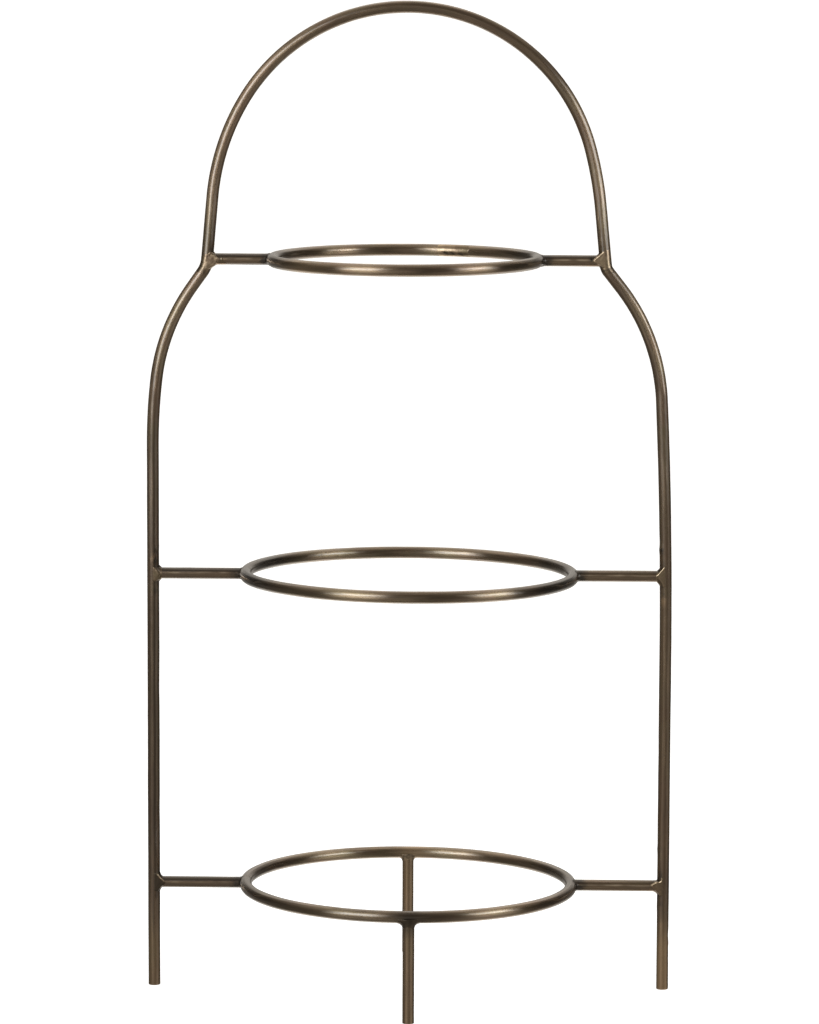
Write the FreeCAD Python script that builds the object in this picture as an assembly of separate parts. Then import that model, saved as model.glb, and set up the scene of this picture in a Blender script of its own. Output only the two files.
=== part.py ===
import FreeCAD, Part
import math
import os

# Three-tier plate stand made of round bar: a bent arch on top, two side rails with
# bent shoulders, three welded rings that each hold a plate, six short bars that tie
# the rings to the rails, and two legs under the bottom ring.
#
# Frame: origin on the floor under the middle of the stand, +Z up, +X to the right,
# the front of the stand faces -Y. Millimetres.
# The stand is bent and welded by hand, so the left and right bends differ a little,
# the arch and the top ring sit slightly left of centre, and the bottom ring is turned
# slightly about its axis. Those offsets are driving dimensions below.

os.makedirs("parts", exist_ok=True)
V = FreeCAD.Vector

# ---------------------------------------------------------------- driving dimensions
FRAME_BAR_D = 6.0            # arch and side rails
RING_BAR_D = 6.0             # the three rings
TIE_BAR_D = 5.6              # short bars between rails and rings
LEG_BAR_D = 5.8              # two legs under the bottom ring

RAIL_X = 127.0               # rail centreline, left and right of the middle
TOP_RING_Z = 364.2           # height of each ring's centreline
MIDDLE_RING_Z = 208.1
BOTTOM_RING_Z = 52.4
TOP_RING_R = 65.4            # centreline radius of each ring
MIDDLE_RING_R = 81.0
BOTTOM_RING_R = 81.0
TOP_RING_SHIFT_X = -2.5      # the top ring is welded in a little left of centre
LEG_TURN_DEG = 1.65          # the bottom ring, with its legs, is turned by this much

# shoulders: (height where the bend starts, easing radius, angle where easing ends,
#             main radius, angle of the straight end), angles from vertical in degrees
SHOULDER_LEFT = (272.0, 285.0, 6.4, 99.6, 35.2)
SHOULDER_RIGHT = (177.0, 2420.0, 2.8, 98.8, 38.1)

# arch: apex of the centreline, main radius, then for each side the half angle of the
# main bend, the radius that eases out of it, and the splay of the straight leg
ARCH_APEX_X = -1.75
ARCH_APEX_Z = 487.95
ARCH_R = 93.0
ARCH_LEFT = (57.9, 112.5, 4.96)
ARCH_RIGHT = (74.9, 174.0, 5.50)

FOOT_EDGE_R = 0.6            # rounded edge at the bottom of every foot
RING_SEAM_W = 1.0            # width of the weld that closes each ring
TOP_RING_SEAM_DEG = 69.0     # where the top ring is closed, from +X towards +Y
SIDE_RING_SEAM_DEG = 180.0   # the other two are closed where the left bar meets them
SEAM_PROUD = 0.06            # how far a ring seam stands out of the bar

RAIL_WELD_LEG = 1.7          # fillet size of the weld between bar and rail
RAIL_WELD_REACH = 1.2        # how far its face runs out along the bar past the fillet
RING_WELD_LEG = 0.9          # fillet size of the weld between bar and ring
RING_WELD_REACH = 0.9
FRONT_LEG_WELD_LEG = 2.4     # fillet size of the weld at the top of the front leg
REAR_LEG_WELD_LEG = 1.6
WELD_PROUD = 0.16            # a ground weld face stands this far out of the bars

# ------------------------------------------------------------------- derived numbers
FRAME_R = FRAME_BAR_D / 2.0
RING_R = RING_BAR_D / 2.0
TIE_R = TIE_BAR_D / 2.0
LEG_R = LEG_BAR_D / 2.0
Y = V(0, 1, 0)


def rad(deg):
    return deg * math.pi / 180.0


def disc(center, normal, r):
    """Flat circular face."""
    return Part.Face(Part.Wire([Part.makeCircle(r, center, normal)]))


class Run:
    """A bar bent in the XZ plane, built from its end, one straight or bend at a time."""

    def __init__(self, x, z, heading_deg, r):
        # heading is measured from +Z towards +X
        self.p = V(x, 0, z)
        self.h = heading_deg
        self.r = r
        self.solids = []

    def dir(self):
        return V(math.sin(rad(self.h)), 0, math.cos(rad(self.h)))

    def straight(self, length):
        d = self.dir()
        self.solids.append(Part.makeCylinder(self.r, length, self.p, d))
        self.p = self.p + d * length
        return self

    def bend(self, radius, turn_deg):
        """Turn right (towards +X from +Z) for a positive angle."""
        s = 1.0 if turn_deg > 0 else -1.0
        d = self.dir()
        side = V(d.z, 0, -d.x) * s                      # towards the bend's centre
        c = self.p + side * radius
        face = disc(self.p, d, self.r)
        # +Y axis turns +Z towards +X, which is a right turn
        solid = face.revolve(c, Y, turn_deg)
        self.solids.append(solid)
        self.h += turn_deg
        v = self.p - c
        a = rad(turn_deg)
        self.p = c + V(v.x * math.cos(a) + v.z * math.sin(a), 0, -v.x * math.sin(a) + v.z * math.cos(a))
        return self

    def solid(self):
        s = self.solids[0]
        if len(self.solids) > 1:
            s = s.multiFuse(self.solids[1:])
            s = s.removeSplitter()
        return one(s)


def one(shape):
    """The shape's largest solid."""
    return sorted(shape.Solids, key=lambda q: q.Volume)[-1].copy()


def meet(p, d, q, e):
    """Where two lines in the XZ plane cross."""
    det = d.x * (-e.z) + e.x * d.z
    bx, bz = q.x - p.x, q.z - p.z
    t = (bx * (-e.z) + e.x * bz) / det
    return p + d * t


def half_space(p, n, size=60.0):
    """A block that fills the side of the plane through p that n points to."""
    n = V(n)
    n.normalize()
    u = Y.cross(n)
    u.normalize()
    a = p - u * size - Y * size
    w = Part.makePolygon([a, a + u * 2 * size, a + u * 2 * size + Y * 2 * size, a + Y * 2 * size, a])
    return Part.Face(w).extrude(n * size)


# ------------------------------------------------------------------ shoulders and arch
def rail_path(side, spec):
    """Side rail from its foot up to the straight end of the shoulder. Returns the run."""
    z0, r_ease, a_ease, r_main, a_end = spec
    run = Run(side * RAIL_X, 0.0, 0.0, FRAME_R)
    foot = Part.makeCylinder(FRAME_R, z0, V(side * RAIL_X, 0, 0), V(0, 0, 1))
    edge = [e for e in foot.Edges if abs(e.BoundBox.ZMax) < 1e-6 and abs(e.BoundBox.ZMin) < 1e-6]
    run.solids.append(foot.makeFillet(FOOT_EDGE_R, edge))
    run.p = V(side * RAIL_X, 0, z0)
    run.bend(r_ease, -side * a_ease)
    run.bend(r_main, -side * (a_end - a_ease))
    return run


def arch_half(side, spec):
    """Half of the arch, from the apex down to the start of its straight leg."""
    a_main, r_ease, splay = spec
    run = Run(ARCH_APEX_X, ARCH_APEX_Z, side * 90.0, FRAME_R)
    run.bend(ARCH_R, side * a_main)
    run.bend(r_ease, side * (90.0 - splay - a_main))
    return run


sides = {"left": (-1, SHOULDER_LEFT, ARCH_LEFT), "right": (1, SHOULDER_RIGHT, ARCH_RIGHT)}
node = {}          # the point where the arch's and the rail's centrelines cross
rails = {}
arch_solids = []
arch_dir = {}      # unit vectors that leave the node up the arch and down the rail
rail_dir = {}
for name, (s, sh, ar) in sides.items():
    rail = rail_path(s, sh)
    half = arch_half(s, ar)
    n = meet(rail.p, rail.dir(), half.p, half.dir())
    node[name] = n
    rail_dir[name] = rail.dir() * -1.0
    arch_dir[name] = half.dir() * -1.0
    rail.straight((n - rail.p).Length + 9.0)
    half.straight((n - half.p).Length + 9.0)
    cut_n = arch_dir[name] - rail_dir[name]             # points to the arch's side
    solid = rail.solid().cut(half_space(n, cut_n))
    rails[name] = one(solid)
    tool = half_space(n, cut_n * -1.0)
    half.solids[-1] = one(half.solids[-1].cut(tool))
    arch_solids += half.solids
arch = one(arch_solids[0].multiFuse(arch_solids[1:]).removeSplitter())


# ------------------------------------------------------------------------------- rings
def torus_sector(center, big, small, start_deg, sweep_deg):
    """Part of a ring about +Z."""
    d = V(math.cos(rad(start_deg)), math.sin(rad(start_deg)), 0)
    t = V(-d.y, d.x, 0)
    face = disc(center + d * big, t, small)
    return face.revolve(center, V(0, 0, 1), sweep_deg)


def make_ring(center, big, seam_deg):
    gap = math.degrees(RING_SEAM_W / big)
    bar = torus_sector(center, big, RING_R, seam_deg + gap / 2.0, 360.0 - gap)
    seam = torus_sector(center, big, RING_R + SEAM_PROUD, seam_deg - gap / 2.0, gap)
    return one(bar), one(seam)


ring_center = {
    "top": V(TOP_RING_SHIFT_X, 0, TOP_RING_Z),
    "middle": V(0, 0, MIDDLE_RING_Z),
    "bottom": V(0, 0, BOTTOM_RING_Z),
}
ring_big = {"top": TOP_RING_R, "middle": MIDDLE_RING_R, "bottom": BOTTOM_RING_R}
rings = {}
seams = {}
for tier in ring_center:
    at = TOP_RING_SEAM_DEG if tier == "top" else SIDE_RING_SEAM_DEG
    rings[tier], seams[tier] = make_ring(ring_center[tier], ring_big[tier], at)


# --------------------------------------------------------------- bars between the two
def make_tie(tier, name):
    s = sides[name][0]
    c = ring_center[tier]
    x0 = c.x + s * ring_big[tier]
    x1 = node[name].x if tier == "top" else s * RAIL_X
    bar = Part.makeCylinder(TIE_R, abs(x1 - x0), V(x0, 0, c.z), V(s, 0, 0))
    bar = bar.cut(rings[tier]).cut(seams[tier]).cut(rails[name])
    if tier == "top":
        bar = bar.cut(arch)
    return one(bar)


ties = {}
for tier in ring_center:
    for name in sides:
        ties[(tier, name)] = make_tie(tier, name)


# -------------------------------------------------------------------------------- legs
def make_leg(angle_deg):
    a = rad(angle_deg)
    c = ring_center["bottom"]
    foot_at = V(c.x + BOTTOM_RING_R * math.cos(a), c.y + BOTTOM_RING_R * math.sin(a), 0)
    leg = Part.makeCylinder(LEG_R, c.z, foot_at, V(0, 0, 1))
    edge = [e for e in leg.Edges if abs(e.BoundBox.ZMax) < 1e-6 and abs(e.BoundBox.ZMin) < 1e-6]
    leg = leg.makeFillet(FOOT_EDGE_R, edge)
    return one(leg.cut(rings["bottom"])), foot_at


leg_front, leg_front_at = make_leg(-90.0 + LEG_TURN_DEG)
leg_rear, leg_rear_at = make_leg(90.0 + LEG_TURN_DEG)


# ------------------------------------------------------------------------------- welds
def concave(p, corner, q):
    """Arc from p to q that bows towards the corner between them."""
    m = (p + q) * 0.5
    k = m + (corner - m) * 0.42
    return Part.Arc(p, k, q).toShape()


def tee_weld(at, branch, main, r_main, r_branch, leg, reach, half, back=0.4, bury=0.3):
    """Weld where a bar butts on another. The outline lies in the plane of both bars:
    a concave fillet in each corner, a face that runs to a point on the branch bar.
    The fillet's ends are buried a little in the bars, so that they cross the bars'
    surfaces at a clear angle and never just touch them."""
    at = V(at)
    normal = branch.cross(main)
    normal.normalize()

    def P(b, m):
        return at + branch * b + main * m - normal * half

    a1, a2 = P(r_main - bury, r_branch + leg), P(r_main + leg, r_branch - bury)
    a3 = P(r_main + leg + reach, 0)
    a4, a5 = P(r_main + leg, -(r_branch - bury)), P(r_main - bury, -(r_branch + leg))
    a6, a7 = P(back, -(r_branch + 0.7 * leg)), P(back, r_branch + 0.7 * leg)
    corner1 = P(r_main - bury, r_branch - bury)
    corner2 = P(r_main - bury, -(r_branch - bury))
    w = Part.Wire([
        concave(a1, corner1, a2),
        Part.makeLine(a2, a3), Part.makeLine(a3, a4),
        concave(a4, corner2, a5),
        Part.makeLine(a5, a6), Part.makeLine(a6, a7), Part.makeLine(a7, a1),
    ])
    return Part.Face(w).extrude(normal * (2.0 * half))


welds = {}
for tier in ring_center:
    c = ring_center[tier]
    for name in sides:
        s = sides[name][0]
        out = V(s, 0, 0)
        # bar to ring
        w = tee_weld(V(c.x + s * ring_big[tier], 0, c.z), out, V(0, 1, 0), RING_R, TIE_R,
                     RING_WELD_LEG, RING_WELD_REACH, RING_R + WELD_PROUD, back=1.4)
        w = w.cut(rings[tier]).cut(seams[tier]).cut(ties[(tier, name)])
        welds["weld_%s_%s_ring" % (tier, name)] = one(w)
        # bar to rail
        if tier != "top":
            w = tee_weld(V(s * RAIL_X, 0, c.z), out * -1.0, V(0, 0, 1), FRAME_R, TIE_R,
                         RAIL_WELD_LEG, RAIL_WELD_REACH, FRAME_R + WELD_PROUD)
            w = w.cut(rails[name]).cut(ties[(tier, name)])
            welds["weld_%s_%s_rail" % (tier, name)] = one(w)


def shoulder_weld(name):
    """Weld where the arch, the rail and the top bar meet. The outline is drawn in the
    XZ plane: u runs inwards from the node, w runs up from the bar's centreline."""
    s = sides[name][0]
    n = node[name]
    z = TOP_RING_Z
    half = FRAME_R + WELD_PROUD

    def P(u, w):
        return V(n.x - s * u, -half, z + w)

    up = arch_dir[name]
    dn = rail_dir[name]
    # inner edges of the arch and of the rail at the heights where the fillets end
    hu, hd = TIE_R + 1.9, -(TIE_R + 2.0)
    ua = (hu + z - n.z) * (-s * up.x / up.z) + FRAME_R / up.z
    ud = (hd + z - n.z) * (-s * dn.x / dn.z) - FRAME_R / dn.z
    bury = 0.3
    b1, b2 = P(ua - bury, hu), P(ua + 1.9, TIE_R - bury)
    tip = P(ua + 3.0, 0.2)
    b3, b4 = P(ua + 1.7, -(TIE_R - bury)), P(ud - bury, hd)
    k1 = P(ua - 0.4, TIE_R - bury)
    k2 = P(ud + 0.6, -TIE_R - 0.1)
    b5 = P(ud - 2.6, hd + 0.5)
    b6 = P(-1.1, 0.4)
    b7 = P(0.4, hu - 0.9)
    w = Part.Wire([
        concave(b1, k1, b2),
        Part.makeLine(b2, tip), Part.makeLine(tip, b3),
        concave(b3, k2, b4),
        Part.makeLine(b4, b5), Part.makeLine(b5, b6), Part.makeLine(b6, b7), Part.makeLine(b7, b1),
    ])
    solid = Part.Face(w).extrude(V(0, 2.0 * half, 0))
    return one(solid.cut(arch).cut(rails[name]).cut(ties[("top", name)]))


welds["weld_shoulder_left"] = shoulder_weld("left")
welds["weld_shoulder_right"] = shoulder_weld("right")

for nm, leg, at, ang, size in (
        ("front", leg_front, leg_front_at, -90.0 + LEG_TURN_DEG, FRONT_LEG_WELD_LEG),
        ("rear", leg_rear, leg_rear_at, 90.0 + LEG_TURN_DEG, REAR_LEG_WELD_LEG)):
    a = rad(ang)
    tangent = V(-math.sin(a), math.cos(a), 0)
    w = tee_weld(at + V(0, 0, BOTTOM_RING_Z), V(0, 0, -1), tangent, RING_R, LEG_R,
                 size, 0.8, RING_R + WELD_PROUD)
    w = w.cut(rings["bottom"]).cut(leg)
    welds["weld_leg_%s" % nm] = one(w)

# ----------------------------------------------------------------------------- write
parts = {
    "arch_handle": arch,
    "side_rail_left": rails["left"],
    "side_rail_right": rails["right"],
    "leg_front": leg_front,
    "leg_rear": leg_rear,
}
for tier in ring_center:
    parts["ring_%s" % tier] = rings[tier]
    parts["weld_ring_%s_seam" % tier] = seams[tier]
    for name in sides:
        parts["tie_bar_%s_%s" % (tier, name)] = ties[(tier, name)]
parts.update(welds)

for name in sorted(parts):
    shape = parts[name]
    if not shape.isValid():
        shape = shape.copy()
        shape.fix(1e-6, 1e-6, 1e-6)
    bb = shape.BoundBox
    print("%-26s valid %s solids %d vol %9.2f  x %8.2f %8.2f  y %7.2f %7.2f  z %7.2f %7.2f" % (
        name, shape.isValid(), len(shape.Solids), shape.Volume,
        bb.XMin, bb.XMax, bb.YMin, bb.YMax, bb.ZMin, bb.ZMax))
    shape.exportStep("parts/%s.step" % name)
print("nodes", len(parts), "left node", node["left"], "right node", node["right"])
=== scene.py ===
import math

import bpy
import numpy as np
from mathutils import Matrix, Vector


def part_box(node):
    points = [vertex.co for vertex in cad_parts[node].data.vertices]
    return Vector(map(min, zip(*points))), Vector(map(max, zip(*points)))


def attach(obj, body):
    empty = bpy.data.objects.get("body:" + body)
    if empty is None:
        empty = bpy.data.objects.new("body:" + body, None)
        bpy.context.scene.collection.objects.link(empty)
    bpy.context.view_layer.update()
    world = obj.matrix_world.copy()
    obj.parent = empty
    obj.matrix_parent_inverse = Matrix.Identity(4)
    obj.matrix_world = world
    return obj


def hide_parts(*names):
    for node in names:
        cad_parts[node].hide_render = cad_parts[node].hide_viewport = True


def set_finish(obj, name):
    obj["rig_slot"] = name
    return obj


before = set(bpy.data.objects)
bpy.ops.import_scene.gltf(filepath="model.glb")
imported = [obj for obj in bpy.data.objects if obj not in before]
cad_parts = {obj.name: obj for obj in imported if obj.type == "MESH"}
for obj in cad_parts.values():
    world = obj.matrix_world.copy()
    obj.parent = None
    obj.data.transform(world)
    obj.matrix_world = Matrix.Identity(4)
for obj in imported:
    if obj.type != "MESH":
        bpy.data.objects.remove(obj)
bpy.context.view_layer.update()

scene = bpy.context.scene
MM = 0.001

# =====================================================================================
# Camera: a long lens, slightly above the stand and a degree and a half to its right
# =====================================================================================
CAM_DIST = 2.4867
CAM_FOCAL_PX = 5072.8
CAM_HEIGHT = 0.5599
CAM_TILT = math.radians(7.345)
CAM_YAW = math.radians(1.529)
CAM_ROLL = math.radians(0.195)

cam_data = bpy.data.cameras.new("camera")
cam = bpy.data.objects.new("camera", cam_data)
scene.collection.objects.link(cam)
right = Vector((math.cos(CAM_YAW), math.sin(CAM_YAW), 0))
forward = Vector((-math.sin(CAM_YAW) * math.cos(CAM_TILT), math.cos(CAM_YAW) * math.cos(CAM_TILT), -math.sin(CAM_TILT)))
up = right.cross(forward)
r2 = right * math.cos(CAM_ROLL) + up * math.sin(CAM_ROLL)
u2 = up * math.cos(CAM_ROLL) - right * math.sin(CAM_ROLL)
m = Matrix.Identity(4)
for i in range(3):
    m[i][0], m[i][1], m[i][2] = r2[i], u2[i], -forward[i]
m[0][3] = CAM_DIST * math.sin(CAM_YAW)
m[1][3] = -CAM_DIST * math.cos(CAM_YAW)
m[2][3] = CAM_HEIGHT
cam.matrix_world = m
cam_data.sensor_fit = "AUTO"
cam_data.sensor_width = 36.0
cam_data.lens = CAM_FOCAL_PX / 1024.0 * 36.0
cam_data.clip_start = 0.05
cam_data.clip_end = 60.0
scene.camera = cam

# =====================================================================================
# Small numeric helpers: seeded noise, signed distances, and a mesh from a distance field
# =====================================================================================


def hash3(ix, iy, iz, seed):
    h = (ix.astype(np.uint32) * np.uint32(374761393)) ^ (iy.astype(np.uint32) * np.uint32(668265263)) ^ (iz.astype(np.uint32) * np.uint32(2147483647 & 0x5bd1e995))
    h = h ^ np.uint32((seed * 2654435761) & 0xFFFFFFFF)
    h = (h ^ (h >> np.uint32(13))) * np.uint32(1274126177)
    h = h ^ (h >> np.uint32(16))
    h = (h * np.uint32(2246822519)) ^ (h >> np.uint32(11))
    return (h & np.uint32(0xFFFFFF)).astype(np.float64) / float(0xFFFFFF) * 2.0 - 1.0


def noise(x, y, z, seed=0):
    """Smooth value noise in -1..1."""
    x, y, z = np.broadcast_arrays(np.asarray(x, float), np.asarray(y, float), np.asarray(z, float))
    fx, fy, fz = np.floor(x), np.floor(y), np.floor(z)
    ix, iy, iz = (fx + 10000).astype(np.int64), (fy + 10000).astype(np.int64), (fz + 10000).astype(np.int64)
    tx, ty, tz = x - fx, y - fy, z - fz
    tx, ty, tz = (t * t * t * (t * (t * 6 - 15) + 10) for t in (tx, ty, tz))
    out = 0.0
    for dx in (0, 1):
        wx = tx if dx else 1 - tx
        for dy in (0, 1):
            wy = ty if dy else 1 - ty
            for dz in (0, 1):
                wz = tz if dz else 1 - tz
                out = out + wx * wy * wz * hash3(ix + dx, iy + dy, iz + dz, seed)
    return out


def fbm(x, y, z, seed=0, octaves=3):
    total, amp, f = 0.0, 1.0, 1.0
    norm = 0.0
    for k in range(octaves):
        total = total + amp * noise(x * f, y * f, z * f, seed + 17 * k)
        norm += amp
        amp *= 0.5
        f *= 2.03
    return total / norm


def smooth(a, b, x):
    t = np.clip((x - a) / (b - a), 0.0, 1.0)
    return t * t * (3 - 2 * t)


def round_union(a, b, r):
    """Union of two distance fields with a circular fillet of radius r."""
    r = np.maximum(r, 1e-6)
    return np.maximum(r, np.minimum(a, b)) - np.sqrt(np.maximum(r - a, 0) ** 2 + np.maximum(r - b, 0) ** 2)


def smooth_max(a, b, k):
    h = np.maximum(k - np.abs(a - b), 0.0) / k
    return np.maximum(a, b) + h * h * k * 0.25


def smooth_min(a, b, k):
    return -smooth_max(-a, -b, k)


def polygon_sdf(px, py, pts):
    """Signed distance to a closed polygon in the plane, negative inside."""
    pts = np.asarray(pts, float)
    d = np.full(px.shape, 1e9)
    inside = np.zeros(px.shape, bool)
    n = len(pts)
    for i in range(n):
        a, b = pts[i], pts[(i + 1) % n]
        ex, ey = b - a
        wx, wy = px - a[0], py - a[1]
        t = np.clip((wx * ex + wy * ey) / (ex * ex + ey * ey), 0, 1)
        dx, dy = wx - ex * t, wy - ey * t
        d = np.minimum(d, dx * dx + dy * dy)
        cond = (a[1] > py) != (b[1] > py)
        with np.errstate(divide="ignore", invalid="ignore"):
            xx = (b[0] - a[0]) * (py - a[1]) / (b[1] - a[1]) + a[0]
        inside ^= cond & (px < xx)
    d = np.sqrt(d)
    return np.where(inside, -d, d)


def surface_net(f, lo, hi, h):
    """Vertices and quads of the zero surface of f(x, y, z) inside the box lo..hi, on a grid of
    step h. The vertices are then moved onto the surface along its gradient."""
    n = [int(math.ceil((hi[i] - lo[i]) / h)) + 1 for i in range(3)]
    ax = [lo[i] + h * np.arange(n[i]) for i in range(3)]
    X, Y, Z = np.meshgrid(*ax, indexing="ij")
    F = f(X, Y, Z)
    # keep the border outside, so that the mesh is closed
    F[0], F[-1] = np.maximum(F[0], h * 0.1), np.maximum(F[-1], h * 0.1)
    F[:, 0], F[:, -1] = np.maximum(F[:, 0], h * 0.1), np.maximum(F[:, -1], h * 0.1)
    F[:, :, 0], F[:, :, -1] = np.maximum(F[:, :, 0], h * 0.1), np.maximum(F[:, :, -1], h * 0.1)
    ins = F < 0
    corners = [(i, j, k) for i in (0, 1) for j in (0, 1) for k in (0, 1)]
    cnt = sum(ins[i:n[0] - 1 + i, j:n[1] - 1 + j, k:n[2] - 1 + k].astype(np.int8) for i, j, k in corners)
    act = (cnt > 0) & (cnt < 8)
    idx = -np.ones(act.shape, np.int64)
    I, J, K = np.nonzero(act)
    idx[act] = np.arange(len(I))
    acc = np.zeros((len(I), 3))
    num = np.zeros(len(I))
    for a in corners:
        for axis in range(3):
            if a[axis]:
                continue
            b = list(a)
            b[axis] = 1
            fa = F[I + a[0], J + a[1], K + a[2]]
            fb = F[I + b[0], J + b[1], K + b[2]]
            cross = (fa < 0) != (fb < 0)
            t = np.where(cross, fa / np.where(cross, fa - fb, 1.0), 0.0)
            p = np.array(a, float)[None, :].repeat(len(I), 0)
            p[:, axis] += t
            acc[cross] += p[cross]
            num[cross] += 1
    v = acc / num[:, None]
    verts = np.column_stack([lo[0] + (I + v[:, 0]) * h, lo[1] + (J + v[:, 1]) * h, lo[2] + (K + v[:, 2]) * h])
    quads = []
    for axis in range(3):
        b, c = (axis + 1) % 3, (axis + 2) % 3
        sl0 = [slice(None)] * 3
        sl1 = [slice(None)] * 3
        sl0[axis] = slice(0, n[axis] - 1)
        sl1[axis] = slice(1, n[axis])
        change = ins[tuple(sl0)] != ins[tuple(sl1)]
        e = np.array(np.nonzero(change)).T
        ok = (e[:, b] > 0) & (e[:, c] > 0) & (e[:, b] < n[b] - 1) & (e[:, c] < n[c] - 1)
        e = e[ok]
        starts_inside = ins[tuple(e.T)]

        def cell(db, dc):
            q = e.copy()
            q[:, b] += db
            q[:, c] += dc
            return idx[tuple(q.T)]

        q = np.column_stack([cell(-1, -1), cell(0, -1), cell(0, 0), cell(-1, 0)])
        q[~starts_inside] = q[~starts_inside][:, ::-1]
        quads.append(q)
    quads = np.vstack(quads)
    # relax once, then put each vertex on the surface
    for step in range(3):
        acc = np.zeros_like(verts)
        deg = np.zeros(len(verts))
        for s in range(4):
            a, b = quads[:, s], quads[:, (s + 1) % 4]
            np.add.at(acc, a, verts[b])
            np.add.at(acc, b, verts[a])
            np.add.at(deg, a, 1)
            np.add.at(deg, b, 1)
        verts = verts * 0.5 + 0.5 * acc / deg[:, None]
        for it in range(3):
            x, y, z = verts.T
            e = h * 0.05
            d = f(x, y, z)
            g = np.column_stack([f(x + e, y, z) - f(x - e, y, z), f(x, y + e, z) - f(x, y - e, z), f(x, y, z + e) - f(x, y, z - e)]) / (2 * e)
            g2 = np.maximum((g ** 2).sum(1), 0.05)
            step_v = -(d / g2)[:, None] * g
            ln = np.sqrt((step_v ** 2).sum(1))
            step_v *= (np.minimum(ln, h * 0.5) / np.maximum(ln, 1e-12))[:, None]
            verts = verts + step_v
    return verts, quads


# =====================================================================================
# Sizes, read from the CAD nodes (metres) and given here in millimetres
# =====================================================================================


def box_mm(node):
    lo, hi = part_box(node)
    return np.array(lo) / MM, np.array(hi) / MM


lo_, hi_ = box_mm("side_rail_left")
FRAME_R = (hi_[1] - lo_[1]) / 2
RAIL_X = -lo_[0] - FRAME_R
lo_, hi_ = box_mm("tie_bar_middle_left")
TIE_R = (hi_[1] - lo_[1]) / 2
lo_, hi_ = box_mm("leg_front")
LEG_R = (hi_[0] - lo_[0]) / 2
FRAME_R, RAIL_X, TIE_R, LEG_R = (round(v, 2) for v in (FRAME_R, RAIL_X, TIE_R, LEG_R))
LEG_AT = {}
for nm in ("front", "rear"):
    lo_, hi_ = box_mm("leg_" + nm)
    LEG_AT[nm] = (lo_[:2] + hi_[:2]) / 2
RING = {}
for tier in ("top", "middle", "bottom"):
    lo_, hi_ = box_mm("ring_" + tier)
    r = (hi_[2] - lo_[2]) / 2
    # the widest two directions of a faceted ring are along Y, where no seam is
    big = (hi_[1] - lo_[1]) / 2 - r
    RING[tier] = {"c": np.array([round(float(hi_[0]) - big - r, 2), 0.0, (lo_[2] + hi_[2]) / 2]), "R": round(float(big), 2), "r": round(float(r), 2)}
APEX_Z = box_mm("arch_handle")[1][2] - FRAME_R

# the bends of the rails and of the arch: the same runs and arcs as the CAD solids
SHOULDER = {"left": (272.0, 285.0, 6.4, 99.6, 35.2), "right": (177.0, 2420.0, 2.8, 98.8, 38.1)}
ARCH_APEX_X = -1.75
ARCH_R = 93.0
ARCH = {"left": (57.9, 112.5, 4.96), "right": (74.9, 174.0, 5.50)}
SIDE = {"left": -1.0, "right": 1.0}
SEAM_DEG = {"top": 69.0, "middle": 180.0, "bottom": 180.0}


class Run:
    """Centreline in the XZ plane: points, headings (degrees from +Z towards +X)."""

    def __init__(self, x, z, heading, step=1.2):
        self.p = np.array([x, z], float)
        self.h = heading
        self.step = step
        self.pts = [self.p.copy()]
        self.hs = [heading]

    def dir(self):
        return np.array([math.sin(math.radians(self.h)), math.cos(math.radians(self.h))])

    def straight(self, length, step=None):
        n = max(1, int(round(length / (step or self.step))))
        d = self.dir()
        for i in range(1, n + 1):
            self.pts.append(self.p + d * length * i / n)
            self.hs.append(self.h)
        self.p = self.pts[-1].copy()
        return self

    def bend(self, radius, turn):
        s = 1.0 if turn > 0 else -1.0
        d = self.dir()
        c = self.p + s * radius * np.array([d[1], -d[0]])
        n = max(2, int(round(radius * abs(math.radians(turn)) / self.step)))
        v = self.p - c
        for i in range(1, n + 1):
            a = math.radians(turn) * i / n
            self.pts.append(c + np.array([v[0] * math.cos(a) + v[1] * math.sin(a), -v[0] * math.sin(a) + v[1] * math.cos(a)]))
            self.hs.append(self.h + turn * i / n)
        self.p = self.pts[-1].copy()
        self.h += turn
        return self


def meet(p, d, q, e):
    t = np.linalg.solve(np.array([[d[0], -e[0]], [d[1], -e[1]]]), q - p)[0]
    return p + d * t


NODE, RAIL_RUN, ARCH_RUN, RAIL_DIR, ARCH_DIR = {}, {}, {}, {}, {}
for side, s in SIDE.items():
    z0, r_ease, a_ease, r_main, a_end = SHOULDER[side]
    run = Run(s * RAIL_X, 0.0, 0.0)
    run.straight(z0)
    run.bend(r_ease, -s * a_ease)
    run.bend(r_main, -s * (a_end - a_ease))
    a_main, r_out, splay = ARCH[side]
    half = Run(ARCH_APEX_X, APEX_Z, s * 90.0)
    half.bend(ARCH_R, s * a_main)
    half.bend(r_out, s * (90.0 - splay - a_main))
    n_ = meet(run.p, run.dir(), half.p, half.dir())
    NODE[side] = n_
    RAIL_DIR[side], ARCH_DIR[side] = -run.dir(), -half.dir()
    run.straight(float(np.linalg.norm(n_ - run.p)))
    half.straight(float(np.linalg.norm(n_ - half.p)))
    RAIL_RUN[side], ARCH_RUN[side] = run, half

# =====================================================================================
# Bars: swept tubes with the small unevenness of hand-bent and hand-ground bar
# =====================================================================================
NU = 64          # points round a bar
THETA = np.linspace(0, 2 * math.pi, NU, endpoint=False)


def new_object(name, verts_mm, faces, smooth_faces=True):
    me = bpy.data.meshes.new(name)
    me.from_pydata((np.asarray(verts_mm) * MM).tolist(), [], [tuple(int(i) for i in f) for f in faces])
    me.update()
    me.polygons.foreach_set("use_smooth", [smooth_faces] * len(me.polygons))
    ob = bpy.data.objects.new(name, me)
    scene.collection.objects.link(ob)
    return ob


def set_attr(ob, name, values):
    me = ob.data
    values = np.asarray(values, np.float32)
    if values.ndim == 1:
        a = me.attributes.new(name, "FLOAT", "POINT")
        a.data.foreach_set("value", values)
    else:
        a = me.attributes.new(name, "FLOAT_VECTOR", "POINT")
        a.data.foreach_set("vector", values.ravel())


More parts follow.
